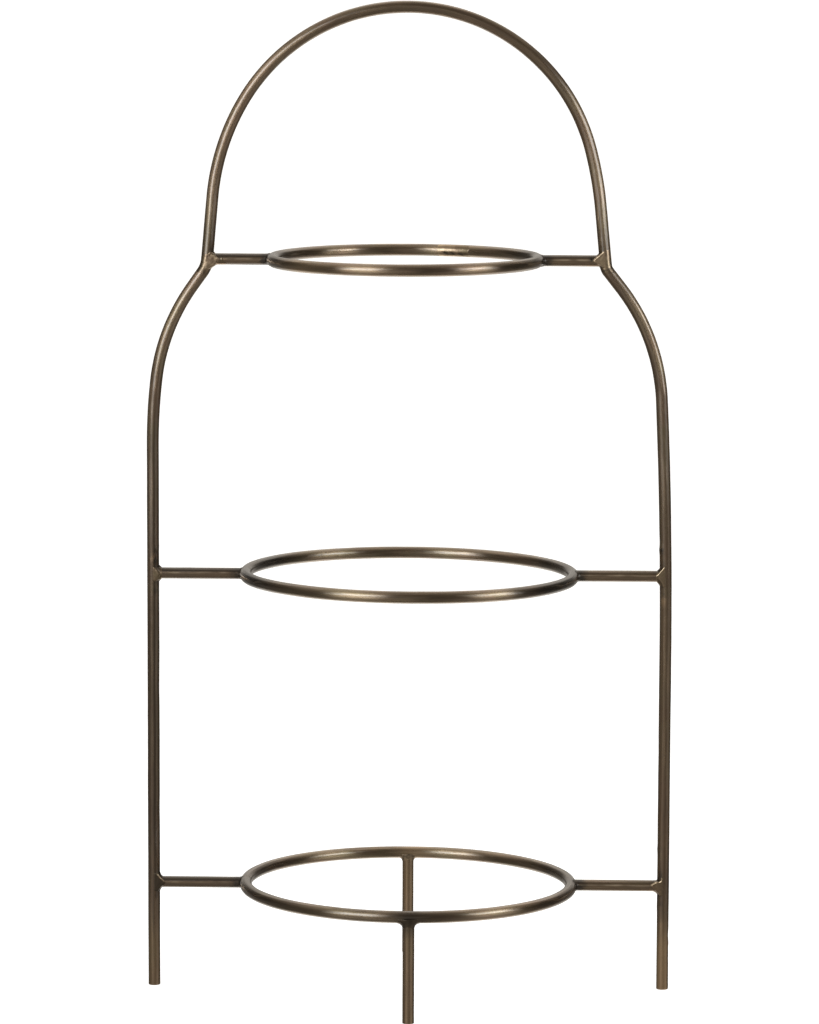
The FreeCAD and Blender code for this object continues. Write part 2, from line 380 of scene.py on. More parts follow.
def mark_sharp(ob, pairs):
    """Marks the edges between these vertex pairs as sharp."""
    me = ob.data
    n = len(me.vertices)
    pairs = np.sort(np.asarray(pairs, np.int64), axis=1)
    want = np.unique(pairs[:, 0] * n + pairs[:, 1])
    ev = np.zeros(len(me.edges) * 2, np.int64)
    me.edges.foreach_get("vertices", ev)
    ev = np.sort(ev.reshape(-1, 2), axis=1)
    a = me.attributes.get("sharp_edge") or me.attributes.new("sharp_edge", "BOOLEAN", "EDGE")
    a.data.foreach_set("value", np.isin(ev[:, 0] * n + ev[:, 1], want))


class Bar:
    """Rows of points round a centreline. Each row has a centre, two axes, radii, a length
    along the bar, and may be slid along the bar's end direction onto a surface."""

    def __init__(self, seed, wobble=0.05, flats=(), planed=6, calm=(), knocks=()):
        self.rows, self.s = [], []
        self.local = []
        self.seed = seed
        self.wobble = wobble
        self.flats = flats
        self.planed = planed
        self.calm = calm                  # (middle, half length) of stretches that were dressed true for welding
        self.knocks = knocks              # (length along, angle, half length, half angle, height) of small knocks
        self.sharp_rows = []

    def radius(self, r, s, theta=THETA):
        """Uneven radius: slow dents, and hammer or grinder flats."""
        c, q = np.cos(theta), np.sin(theta)
        slow = noise(c * 0.7 + 5, q * 0.7, s / 21.0, self.seed)
        mid = noise(c * 1.3, q * 1.3 + 9, s / 6.5, self.seed + 3)
        fine = noise(c * 3.2, q * 3.2, s / 2.1 + 40, self.seed + 5)
        live = 1.0
        for (s0, half) in self.calm:
            live *= 1.0 - math.exp(-((s - s0) / half) ** 4)
        rr = r + live * self.wobble * (0.75 * slow + 0.55 * mid + 0.16 * fine)
        # long shallow flats left by the sanding belt: each wanders round the bar and comes and goes
        for k in range(self.planed):
            ang = 2 * math.pi * k / self.planed + 0.45 * float(noise(s / 60.0, k * 3.7, 1.5, self.seed + 71))
            depth = live * (0.045 + 0.055 * float(noise(s / 34.0, k * 5.1, 7.5, self.seed + 72)))
            if depth > 0.003:
                lim = (r - depth) / np.maximum(np.cos(theta - ang), 0.3)
                rr = -smooth_max(-rr, -lim, 0.02)
        for (s0, ang, half, wide, height) in self.knocks:
            away = (np.degrees(theta) - ang + 180.0) % 360.0 - 180.0
            rr = rr + height * math.exp(-((s - s0) / half) ** 2) * np.exp(-(away / wide) ** 2)
        for (s0, ang, half, depth) in self.flats:
            w = math.exp(-((s - s0) / half) ** 2)
            if w > 0.01:
                lim = (r - depth * w) / np.maximum(np.cos(theta - math.radians(ang)), 0.2)
                rr = np.minimum(rr, lim)
        return rr

    def row(self, center, a, b, rr, s, slide=None):
        center, a, b = np.asarray(center, float), np.asarray(a, float), np.asarray(b, float)
        c, q = np.cos(THETA)[:, None], np.sin(THETA)[:, None]
        rr = np.broadcast_to(np.asarray(rr, float), THETA.shape)[:, None]
        p = center + rr * (c * a + q * b)
        if slide is not None:
            p = slide(p)
        self.rows.append(p)
        self.local.append(np.column_stack([(rr * c)[:, 0], (rr * q)[:, 0], np.full(NU, s)]))
        self.s.append(s)

    def build(self, name, closed=False):
        rows = np.array(self.rows)
        n = len(rows)
        verts = rows.reshape(-1, 3)
        local = np.array(self.local).reshape(-1, 3)
        faces = []
        for i in range(n if closed else n - 1):
            a, b = i * NU, ((i + 1) % n) * NU
            for j in range(NU):
                k = (j + 1) % NU
                faces.append((a + j, a + k, b + k, b + j))
        sharp = []
        for r in self.sharp_rows:
            r = r % n
            sharp += [(r * NU + j, r * NU + (j + 1) % NU) for j in range(NU)]
        if not closed:
            ends = [(0, -1), ((n - 1) * NU, 1)]
            extra_v, extra_l = [], []
            for base, sign in ends:
                ring_ = verts[base:base + NU]
                extra_v.append(ring_.mean(0))
                extra_l.append([0, 0, local[base, 2]])
                ci = len(verts) + len(extra_v) - 1
                for j in range(NU):
                    k = (j + 1) % NU
                    faces.append((ci, base + k, base + j) if sign < 0 else (ci, base + j, base + k))
            verts = np.vstack([verts, extra_v])
            local = np.vstack([local, extra_l])
        ob = new_object(name, verts, faces)
        set_attr(ob, "bar", local)
        # one metre of U per metre of bar, so that the brushing runs lengthwise
        around = np.r_[np.tile(THETA, n), np.zeros(len(verts) - n * NU)]
        idx = np.zeros(len(ob.data.loops), np.int64)
        ob.data.loops.foreach_get("vertex_index", idx)
        start = np.zeros(len(ob.data.polygons), np.int64)
        count = np.zeros(len(ob.data.polygons), np.int64)
        ob.data.polygons.foreach_get("loop_start", start)
        ob.data.polygons.foreach_get("loop_total", count)
        poly = np.repeat(np.arange(len(start)), count)
        th = around[idx]
        low = np.zeros(len(start), bool)
        np.logical_or.at(low, poly, th > math.pi * 1.5)
        th = np.where(low[poly] & (th < math.pi * 0.5), th + 2 * math.pi, th)
        uv = ob.data.uv_layers.new(name="UVMap")
        uv.data.foreach_set("uv", np.column_stack([local[idx, 2] * MM, th * 3.0 * MM]).astype(np.float32).ravel())
        if sharp:
            mark_sharp(ob, sharp)
        return ob


def foot_rows(bar, center, a, b, r, edge, up):
    """A cut foot with a rounded edge: rows from the middle of the flat end outwards."""
    center, up = np.asarray(center, float), np.asarray(up, float)
    for f in (0.25, 0.55, 0.8, 1.0):
        bar.row(center, a, b, (r - edge) * f, 0.0)
    for k in range(1, 6):
        t = math.pi / 2 * k / 6
        bar.row(center + up * edge * (1 - math.cos(t)), a, b, r - edge + edge * math.sin(t), edge * (1 - math.cos(t)))


def plane_slide(point, normal, along):
    point, normal, along = (np.asarray(v, float) for v in (point, normal, along))

    def f(p):
        t = ((point - p) @ normal) / (along @ normal)
        return p + t[:, None] * along

    return f


# the shoulders were dressed to a smooth knee: a bend of this radius, over the mitre
KNEE = {"left": 13.0, "right": 6.0}


def knee_length(side):
    half = 0.5 * math.acos(float(np.clip(RAIL_DIR[side] @ ARCH_DIR[side], -1, 1)))
    return KNEE[side] / math.tan(half)


def knee_relief(side, dist):
    """How far a bar is sunk under the knee's weld, this far from its mitred end."""
    if not KNEE[side]:
        return 0.0
    x = max(0.0, knee_length(side) - dist)
    return 1.08 * x * x / (2 * KNEE[side]) + 0.14 * smooth(0.0, 1.5, x)


KNOCKS = {
    "left": ((216.5, 292.0, 1.7, 22.0, -0.10), (221.5, 335.0, 1.6, 30.0, 0.12), (90.0, 340.0, 5.0, 40.0, -0.10), (150.0, 20.0, 7.0, 60.0, -0.08)),
    "right": ((27.5, 5.0, 2.4, 45.0, -0.17), (23.5, 0.0, 1.3, 35.0, 0.07), (20.8, 0.0, 1.4, 35.0, -0.08), (16.0, 0.0, 1.6, 35.0, -0.07), (42.0, 178.0, 3.0, 40.0, 0.08), (221.2, 190.0, 1.6, 34.0, 0.22), (225.5, 195.0, 2.2, 36.0, -0.10), (71.0, 185.0, 1.8, 36.0, 0.14), (120.0, 170.0, 7.0, 60.0, -0.08)),
}


def make_rail(side):
    s = SIDE[side]
    run = RAIL_RUN[side]
    pts, hs = np.array(run.pts), np.array(run.hs)
    n = NODE[side]
    seg = np.r_[0, np.cumsum(np.linalg.norm(np.diff(pts, axis=0), axis=1))]
    bar = Bar(seed=11 if s < 0 else 23, wobble=0.06, calm=[(RING["bottom"]["c"][2], 8.5), (RING["middle"]["c"][2], 8.5), (seg[-1], 11.0)], knocks=KNOCKS[side])

    def frame_at(h):
        # a: in-plane axis (to +X for an upright bar), b: +Y
        hr = math.radians(h)
        return np.array([math.cos(hr), 0, -math.sin(hr)]), np.array([0.0, 1.0, 0.0])

    a, b = frame_at(hs[0])
    b_ = b
    foot_rows(bar, (pts[0][0], 0, 0), a, b_, FRAME_R, 0.6, (0, 0, 1))
    for i in range(len(pts)):
        if seg[i] < 0.7:
            continue
        if seg[-1] - seg[i] < 2.2:
            continue
        a, b = frame_at(hs[i])
        bar.row((pts[i][0], 0, pts[i][1]), a, b, bar.radius(FRAME_R, seg[i]) - knee_relief(side, seg[-1] - seg[i]), seg[i])
    # mitre at the shoulder
    cut = ARCH_DIR[side] - RAIL_DIR[side]
    cut3 = np.array([cut[0], 0, cut[1]]) / np.linalg.norm(cut)
    along = np.array([-RAIL_DIR[side][0], 0, -RAIL_DIR[side][1]])
    slide = plane_slide((n[0], 0, n[1]), cut3, along)
    a, b = frame_at(hs[-1])
    for f in (1.0, 0.66, 0.33):
        bar.row((n[0], 0, n[1]), a, b, (bar.radius(FRAME_R, seg[-1]) - knee_relief(side, 0.0)) * f, seg[-1], slide)
    bar.sharp_rows = [len(bar.rows) - 3]
    # rows go up, so the faces are flipped where needed to keep them outward
    return flip_if_needed(bar.build("bar_side_rail_" + side), pts[len(pts) // 2])


def flip_if_needed(ob, _p=None):
    """Faces outward: the signed volume of the mesh is positive."""
    me = ob.data
    co = np.zeros(len(me.vertices) * 3)
    me.vertices.foreach_get("co", co)
    co = co.reshape(-1, 3)
    me.calc_loop_triangles()
    tri = np.zeros(len(me.loop_triangles) * 3, np.int64)
    me.loop_triangles.foreach_get("vertices", tri)
    v = co[tri.reshape(-1, 3)]
    if (v[:, 0] * np.cross(v[:, 1], v[:, 2])).sum() < 0:
        me.flip_normals()
    return ob


def make_arch():
    left, right_ = ARCH_RUN["left"], ARCH_RUN["right"]
    pl, hl = np.array(left.pts)[::-1], np.array(left.hs)[::-1] + 180.0
    pr, hr = np.array(right_.pts), np.array(right_.hs)
    pts = np.vstack([pl, pr[1:]])
    hs = np.r_[hl, hr[1:]]
    seg = np.r_[0, np.cumsum(np.linalg.norm(np.diff(pts, axis=0), axis=1))]
    bar = Bar(seed=37, wobble=0.06, calm=[(0.0, 11.0), (seg[-1], 11.0)])

    def frame_at(h):
        h_ = math.radians(h)
        return np.array([math.cos(h_), 0, -math.sin(h_)]), np.array([0.0, 1.0, 0.0])

    for end in (0, 1):
        side = "left" if end == 0 else "right"
        n = NODE[side]
        cut = ARCH_DIR[side] - RAIL_DIR[side]
        cut3 = np.array([cut[0], 0, cut[1]]) / np.linalg.norm(cut)
        along = np.array([ARCH_DIR[side][0], 0, ARCH_DIR[side][1]])
        slide = plane_slide((n[0], 0, n[1]), cut3, along)
        k = 0 if end == 0 else -1
        a, b = frame_at(hs[k])
        fs = (0.33, 0.66, 1.0) if end == 0 else (1.0, 0.66, 0.33)
        if end == 1:
            for i in range(len(pts)):
                if seg[i] > 2.2 and seg[-1] - seg[i] > 2.2:
                    a_, b_ = frame_at(hs[i])
                    sunk = max(knee_relief("left", seg[i]), knee_relief("right", seg[-1] - seg[i]))
                    bar.row((pts[i][0], 0, pts[i][1]), a_, b_, bar.radius(FRAME_R, seg[i]) - sunk, seg[i])
        for f in fs:
            bar.row((n[0], 0, n[1]), a, b, (bar.radius(FRAME_R, seg[k]) - knee_relief(side, 0.0)) * f, seg[k], slide)
    bar.sharp_rows = [2, len(bar.rows) - 3]
    return flip_if_needed(bar.build("bar_arch_handle"))


# the two lower rings were welded in a little out of level
def ring_lift(tier, x, y):
    R = RING[tier]["R"]
    if tier == "top":
        return 0.0 * x
    if tier == "middle":
        return -0.0052 * x + 0.38 * smooth(0.15, 0.8, -y / R) * smooth(-0.75, 0.1, -np.asarray(x) / R + 0.1)
    return -0.0052 * x


def make_ring(tier):
    c, R, r = RING[tier]["c"], RING[tier]["R"], RING[tier]["r"]
    gap = 1.0 / R
    a0 = math.radians(SEAM_DEG[tier]) + gap / 2
    n = int(round(2 * math.pi * R / 1.2))
    bar = Bar(seed={"top": 51, "middle": 67, "bottom": 83}[tier], wobble=0.05)
    angs = np.linspace(a0, a0 + 2 * math.pi - gap, n)
    up_ = np.array([0, 0, 1.0])
    for i, t in enumerate(angs):
        d = np.array([math.cos(t), math.sin(t), 0])
        fs = [1.0]
        if i == 0:
            fs = [0.33, 0.66, 1.0]
        if i == n - 1:
            fs = [1.0, 0.66, 0.33]
        lift = float(ring_lift(tier, d[0] * R, d[1] * R))
        near = min((t - a0) * R + 0.5, (a0 + 2 * math.pi - gap - t) * R + 0.5)
        sunk = 0.36 * float(smooth(7.0, 5.8, near)) if tier == "top" else 0.0
        for f in fs:
            bar.row(c + d * R + up_ * lift, d, up_, (bar.radius(r, (t - a0) * R) - sunk) * f, (t - a0) * R)
    bar.sharp_rows = [2, len(bar.rows) - 3]
    return flip_if_needed(bar.build("bar_ring_" + tier))


def to_cylinder(axis_point, axis_dir, r, along, sink):
    """Slides points along a direction onto a cylinder, sunk a little inside it."""
    q, w, d = (np.asarray(v, float) for v in (axis_point, axis_dir, along))
    w = w / np.linalg.norm(w)

    def f(p):
        o = p - q
        o = o - (o @ w)[:, None] * w
        dd = d - (d @ w) * w
        A = dd @ dd
        Bq = o @ dd
        C = (o * o).sum(1) - r * r
        disc_ = np.maximum(Bq * Bq - A * C, 0)
        t = (-Bq - np.sqrt(disc_)) / A
        return p + (t + sink)[:, None] * d

    return f


def to_torus(c, R, r, along, sink):
    """Slides points along a direction onto a ring, sunk a little inside it."""
    c, d = np.asarray(c, float), np.asarray(along, float)

    def dist(p):
        o = p - c
        return np.sqrt((np.sqrt(o[:, 0] ** 2 + o[:, 1] ** 2) - R) ** 2 + o[:, 2] ** 2) - r

    def f(p):
        q = p - d * 12.0
        for _ in range(60):
            q = q + np.maximum(dist(q), 0)[:, None] * d * 0.9
        return q + sink * d

    return f


def make_tie(tier, side):
    s = SIDE[side]
    c, R, r = RING[tier]["c"], RING[tier]["R"], RING[tier]["r"]
    z = c[2]
    x_in = c[0] + s * (R + r)
    if tier == "top":
        d = ARCH_DIR[side]
        n = NODE[side]
        q = (n[0] + d[0] / d[1] * (z - n[1]), 0, z)
        w = np.array([d[0], 0, d[1]])
        x_out = q[0] - s * FRAME_R
    else:
        q, w = (s * RAIL_X, 0, z), np.array([0, 0, 1.0])
        x_out = s * (RAIL_X - FRAME_R)
        if side == "right" and tier == "middle":
            q = (s * (RAIL_X - 0.2), 0, z)
    seed = {"top": 101, "middle": 131, "bottom": 161}[tier] + (0 if s < 0 else 9)
    bar = Bar(seed=seed, wobble=0.05, calm=[(abs(x_out - x_in), 7.0)])
    ex = np.array([s, 0, 0.0])
    a, b = np.array([0, 1.0, 0]), np.array([0, 0, 1.0])
    ring_end = to_torus(c, R, r, -ex, 0.08)
    rail_end = to_cylinder(q, w, FRAME_R, ex, 0.08)
    L = abs(x_out - x_in)
    for f in (0.33, 0.66, 1.0):
        bar.row((x_in, 0, z), a, b, bar.radius(TIE_R, 0.0) * f, 0.0, ring_end)
    n = int(round((L - 2.0) / 1.0))
    for i in range(n + 1):
        t = 1.0 + (L - 2.0) * i / n
        bar.row((x_in + s * t, 0, z), a, b, bar.radius(TIE_R, t), t)
    for f in (1.0, 0.66, 0.33):
        bar.row((x_out - s * 6.0, 0, z), a, b, bar.radius(TIE_R, L) * f, L, rail_end)
    bar.sharp_rows = [2, len(bar.rows) - 3]
    return flip_if_needed(bar.build("bar_tie_%s_%s" % (tier, side)))


def make_leg(which):
    x, y = LEG_AT[which]
    c, R, r = RING["bottom"]["c"], RING["bottom"]["R"], RING["bottom"]["r"]
    top = c[2] - r
    bar = Bar(seed=201 if which == "front" else 223, wobble=0.05)
    a, b = np.array([1.0, 0, 0]), np.array([0, 1.0, 0])
    foot_rows(bar, (x, y, 0), a, b, LEG_R, 0.6, (0, 0, 1))
    n = int(round((top - 1.7) / 1.0))
    for i in range(n + 1):
        t = 0.7 + (top - 1.7) * i / n
        bar.row((x, y, t), a, b, bar.radius(LEG_R, t), t)
    slide = to_torus(c, R, r, (0, 0, 1.0), 0.08)
    for f in (1.0, 0.66, 0.33):
        bar.row((x, y, top - 1.0), a, b, bar.radius(LEG_R, top) * f, top, slide)
    bar.sharp_rows = [len(bar.rows) - 3]
    return flip_if_needed(bar.build("bar_leg_" + which))


PIECES = {}
PIECES["side_rail_left"] = make_rail("left")
PIECES["side_rail_right"] = make_rail("right")
PIECES["arch_handle"] = make_arch()
for tier in RING:
    PIECES["ring_" + tier] = make_ring(tier)
    for side in SIDE:
        PIECES["tie_bar_%s_%s" % (tier, side)] = make_tie(tier, side)
for which in LEG_AT:
    PIECES["leg_" + which] = make_leg(which)

# =====================================================================================
# Welds: ground fillets and flat-ground gussets, from distance fields in each joint's own axes
# b runs from the main bar's middle out along the branch, m along the main bar, n towards the face
# =====================================================================================


def line_field(P, q, w, r):
    o = P - np.asarray(q, float)
    w = np.asarray(w, float) / np.linalg.norm(w)
    t = o @ w
    return np.sqrt(np.maximum((o * o).sum(-1) - t * t, 0)) - r


def torus_field(P, tier):
    c, R, r = RING[tier]["c"], RING[tier]["R"], RING[tier]["r"]
    o = P - c
    z = o[..., 2] - ring_lift(tier, o[..., 0], o[..., 1])
    return np.sqrt((np.sqrt(o[..., 0] ** 2 + o[..., 1] ** 2) - R) ** 2 + z ** 2) - r


def corner_union(a, b, la, lb, chamfer):
    """Union with a fillet that reaches la out from surface a and lb out from surface b."""
    a_, b_ = a / la, b / lb
    s = np.minimum(la, lb)
    rnd = (np.maximum(1.0, np.minimum(a_, b_)) - np.sqrt(np.maximum(1 - a_, 0) ** 2 + np.maximum(1 - b_, 0) ** 2)) * s
    chm = np.minimum((a_ + b_ - 1.0) / math.sqrt(2.0) * s, np.minimum(a, b))
    return rnd * (1 - chamfer) + chm * chamfer


def lerp(a, b, t):
    return a + (b - a) * t


def part_sheets(v, q):
    """Where two sheets of a surface meet in one edge, gives each sheet a vertex of its own at
    one end, a hair apart. Also returns how many such edges are left."""
    v, q = np.asarray(v, float), np.array(q, np.int64)
    n = q.shape[1]
    for _ in range(24):
        e = np.sort(np.stack([q, np.roll(q, -1, axis=1)], -1), axis=2)
        key = e[..., 0] * len(v) + e[..., 1]
        _, inverse, count = np.unique(key.ravel(), return_inverse=True, return_counts=True)
        shared = count[inverse].reshape(key.shape) > 2
        if not shared.any():
            return v, q, 0
        parted = False
        for u in e[shared][0]:
            faces = [int(f_) for f_ in np.nonzero((q == u).any(1))[0]]
            links = {}
            for f_ in faces:
                for i in range(n):
                    if u in e[f_, i] and not shared[f_, i]:
                        links.setdefault(int(key[f_, i]), []).append(f_)
            group = {f_: f_ for f_ in faces}
            for pair in links.values():
                one, other = group[pair[0]], group[pair[-1]]
                group = {f_: one if g == other else g for f_, g in group.items()}
            names = sorted(set(group.values()))
            if len(names) == 2:
                moved = []
                for g in names:
                    own = [f_ for f_ in faces if group[f_] == g]
                    moved.append(lerp(v[u], v[q[own]].mean((0, 1)), 0.06))
                    if g == names[1]:
                        for f_ in own:
                            q[f_, q[f_] == u] = len(v)
                v[u] = moved[0]
                v = np.vstack([v, moved[1]])
                parted = True
                break
        if not parted:
            break
    return v, q, int(shared.sum())


def weld_piece(node, origin, eb, em, en, field, lo, hi, h, seed):
    o = np.asarray(origin, float)
    E = np.array([eb, em, en], float)

    def f(b, m_, n):
        P = np.stack([b, m_, n], -1) @ E + o
        return field(b, m_, n, P)[0]

    # the grid is moved a little if two sheets still meet in one edge
    for k in range(3):
        v, q, left = part_sheets(*surface_net(f, tuple(np.asarray(lo) - 0.023 * k), hi, h))
        if left == 0:
            break
    ob = new_object("joint_" + node[5:], v @ E + o, q)
    # the field's second value: dark oxide and painted shade in the weld's creases and pits
    oxide_and_shade = field(v[:, 0], v[:, 1], v[:, 2], v @ E + o)[1]
    set_attr(ob, "bar", v + np.array([seed * 3.1, 0, seed * 7.7]))
    set_attr(ob, "oxide_and_shade", np.clip(oxide_and_shade, 0, 1))
    flip_if_needed(ob)
    return ob


def plate_field(b, m_, n, plate, sign):
    """A flat-ground gusset: an outline in the (b, m) plane under a ground face."""
    poly, n0, gb, gm, k = plate[:5]
    d2 = polygon_sdf(b, m_, poly)
    c = np.mean(np.asarray(poly), 0)
    top = sign * n - (n0 + gb * (b - c[0]) + gm * (m_ - c[1]))
    # the side wall leans out a little towards its root
    wall = (d2 - 0.25 * np.maximum(-top, 0) * 0.6) * 0.93
    # raised edges, where the grinder stopped short
    for (b0, m0, b1, m1, height, width) in (plate[5] if len(plate) > 5 else ()):
        t = np.clip(((b - b0) * (b1 - b0) + (m_ - m0) * (m1 - m0)) / ((b1 - b0) ** 2 + (m1 - m0) ** 2), 0, 1)
        top = top - height * np.exp(-((b - b0 - t * (b1 - b0)) ** 2 + (m_ - m0 - t * (m1 - m0)) ** 2) / width ** 2)
    p = smooth_max(wall, top, k)
    return np.maximum(p, -sign * n - 0.2), d2, top


def beyond_middle(dm, u, depth):
    """Past the main bar's middle line (u = 0) the bar itself shows: the weld stays this deep in it."""
    return dm + depth - (depth + 3.0) * smooth(0.1, 1.5, u)


def tee_weld_piece(side, tier, spec):
    """A tie bar on a side rail, below the shoulder."""
    s = SIDE[side]
    z = RING[tier]["c"][2]
    x = s * RAIL_X if not (side == "right" and tier == "middle") else s * (RAIL_X - 0.2)
    origin = (x, 0, z)
    eb, em, en = (-s, 0, 0), (0, 0, 1), (0, -1, 0)
    seed = spec["seed"]

    def field(b, m_, n, P):
        dm = np.hypot(b, n) - FRAME_R
        db = np.hypot(m_, n) - TIE_R + 3.0 * np.maximum(-b, 0)
        w = smooth(-1.0, 1.0, m_)
        la = lerp(spec["low"][0], spec["top"][0], w)
        lb = lerp(spec["low"][1], spec["top"][1], w)
        ch = lerp(spec["low"][2], spec["top"][2], w)
        core = smooth_max(corner_union(dm, db, la, lb, ch), np.abs(n) - 2.94, 0.15)
        # crease: the fillet's corner darkened, oxide and painted shade, less below the tie bar
        crease = np.clip(1.0 - np.maximum(np.abs(dm), np.abs(db)) / 1.7, 0, 1) * np.where(m_ > 0, 1.0, 0.55)
        # how far outside the welded patch a point is, in the (b, m) plane
        foot = np.minimum(np.hypot((b - 3.2) / 1.9, m_ / (TIE_R + 0.5 * (la + lb))) - 1.0, 1e3) * 1.9
        for sign, plates in ((1.0, spec["front"]), (-1.0, spec["back"])):
            for pl in plates:
                p, d2, top = plate_field(b, m_, n, pl, sign)
                p = np.maximum(p, beyond_middle(dm, b, 0.05))
                core = smooth_min(core, p, 0.10)
                on = (sign * n > 0)
                foot = np.where(on, np.minimum(foot, d2 - 0.35), foot)
                crease = crease * np.where(on & (np.abs(top) < 0.25) & (d2 < -0.1), 0.12, 1.0)
        # dark spots of oxide and painted shade in the weld's corners
        for (sb, sm, sr, amount) in spec.get("dark_corners", ()):
            crease = np.maximum(crease, amount * np.exp(-((b - sb) ** 2 + (m_ - sm) ** 2) / sr ** 2) * (n > 0))
        lumps = 0.012 * fbm(b * 0.8, m_ * 0.8, n * 0.8 + seed, seed, 3)
        for (pb, pm, pr, pd) in spec.get("pits", ()):
            lumps = lumps + pd * np.exp(-((b - pb) ** 2 + (m_ - pm) ** 2) / pr ** 2) * smooth(0.0, 0.6, n)
        inset = lerp(-0.015, 0.16, smooth(-0.6, 1.0, foot)) + lumps
        inset = np.maximum(inset, lerp(0.06, -0.08, smooth(-0.6, 1.2, b)))
        f = core + inset
        clip_ = np.maximum(foot - 1.5, -b - 2.2 + 0.0 * n)
        return np.maximum(f, clip_), crease * 0.95

    return weld_piece("weld_%s_%s_rail" % (tier, side), origin, eb, em, en, field, (-2.6, -8.0, -3.9), (9.0, 8.0, 3.9), 0.2, seed)


TEE = {
    ("middle", "right"): {
        "seed": 3, "top": (1.35, 1.45, 0.75), "low": (1.5, 1.9, 0.8),
        "front": [([(0.9, 5.0), (2.65, 3.07), (3.9, 1.5), (4.7, 0.62), (3.1, -0.9), (1.9, -3.6), (1.2, -5.2), (-1.4, -5.2), (-1.4, 5.0)], 2.96, -0.03, 0.004, 0.6,
                   ((1.0, 4.5, 2.45, 2.85, 0.10, 0.36), (2.45, 2.85, 4.3, 0.75, 0.09, 0.34)))],
        "back": [([(0.6, 4.4), (2.3, 3.3), (4.1, 1.7), (4.9, 0.1), (3.0, -2.2), (1.2, -4.6), (-1.4, -4.4), (-1.4, 3.8)], 2.96, -0.02, 0.01, 0.7)],
        "dark_corners": ((3.6, 2.9, 0.7, 0.8), (1.4, -5.4, 0.6, 0.8)),
        "pits": ((3.7, 2.7, 0.45, 0.25),),
    },
    ("middle", "left"): {
        "seed": 5, "top": (1.4, 1.35, 0.85), "low": (1.35, 1.55, 0.8),
        "front": [([(0.3, 3.6), (1.66, 1.75), (2.75, 0.2), (3.5, -1.3), (2.9, -2.9), (1.4, -3.9), (-1.4, -3.9), (-1.4, 3.6)], 2.955, -0.02, 0.01, 0.6,
                   ((0.5, 3.0, 1.66, 1.5, 0.09, 0.34), (1.66, 1.5, 2.75, -0.1, 0.07, 0.32)))],
        "back": [([(0.8, 4.2), (2.6, 2.9), (4.4, 1.1), (4.2, -1.2), (2.5, -3.1), (0.6, -4.2), (-1.4, -3.8), (-1.4, 3.6)], 2.96, -0.02, -0.01, 0.7)],
        "dark_corners": ((2.9, 3.5, 2.0, 1.2), (3.2, 2.1, 0.9, 1.0), (2.9, -3.9, 1.1, 0.9)),
        "pits": ((3.2, 3.35, 0.8, 0.45), (3.1, -3.7, 0.6, 0.25)),
    },
    ("bottom", "left"): {
        "seed": 7, "top": (1.75, 3.0, 0.0), "low": (1.5, 2.6, 0.0),
        "front": [([(1.5, 5.0), (3.3, 2.85), (5.04, 1.0), (6.3, 0.55), (5.2, -0.9), (3.4, -2.4), (2.1, -4.4), (-1.4, -4.6), (-1.4, 5.0)], 2.94, -0.045, 0.004, 0.6,
                   ((1.8, 4.3, 3.3, 2.5, 0.09, 0.34), (3.3, 2.5, 5.0, 0.8, 0.07, 0.32), (5.0, 0.8, 6.2, 0.2, 0.06, 0.32)))],
        "back": [([(1.2, 4.0), (3.0, 2.7), (5.0, 1.2), (5.0, -0.8), (3.2, -2.6), (1.4, -4.2), (-1.4, -4.0), (-1.4, 3.8)], 2.95, -0.03, -0.01, 0.7)],
        "dark_corners": ((3.0, 3.9, 0.8, 0.5), (3.0, -1.0, 1.6, 0.25)),
    },
    ("bottom", "right"): {
        "seed": 9, "top": (0.7, 0.9, 0.0), "low": (2.7, 1.9, 0.0),
        "front": [([(0.9, 4.6), (1.05, 3.3), (2.1, 2.5), (3.45, 2.5), (4.7, 1.85), (6.2, 1.15), (6.0, 0.2), (4.2, -1.4), (2.6, -3.2), (1.5, -4.6), (-1.4, -4.8), (-1.4, 4.6)], 2.955, -0.03, 0.006, 0.6,
                   ((0.9, 3.6, 1.0, 2.6, 0.05, 0.3), (1.0, 2.5, 3.45, 2.1, 0.09, 0.34), (3.45, 2.1, 5.9, 0.6, 0.08, 0.34)))],
        "back": [([(0.9, 4.4), (2.2, 3.0), (4.2, 1.9), (5.6, 0.7), (4.4, -1.2), (2.4, -3.2), (1.0, -4.4), (-1.4, -4.2), (-1.4, 3.6)], 2.96, -0.03, 0.01, 0.7)],
        "dark_corners": ((2.9, 3.2, 0.8, 0.9), (1.2, -5.0, 0.6, 0.6)),
        "pits": ((2.9, 3.1, 0.45, 0.3),),
    },
}


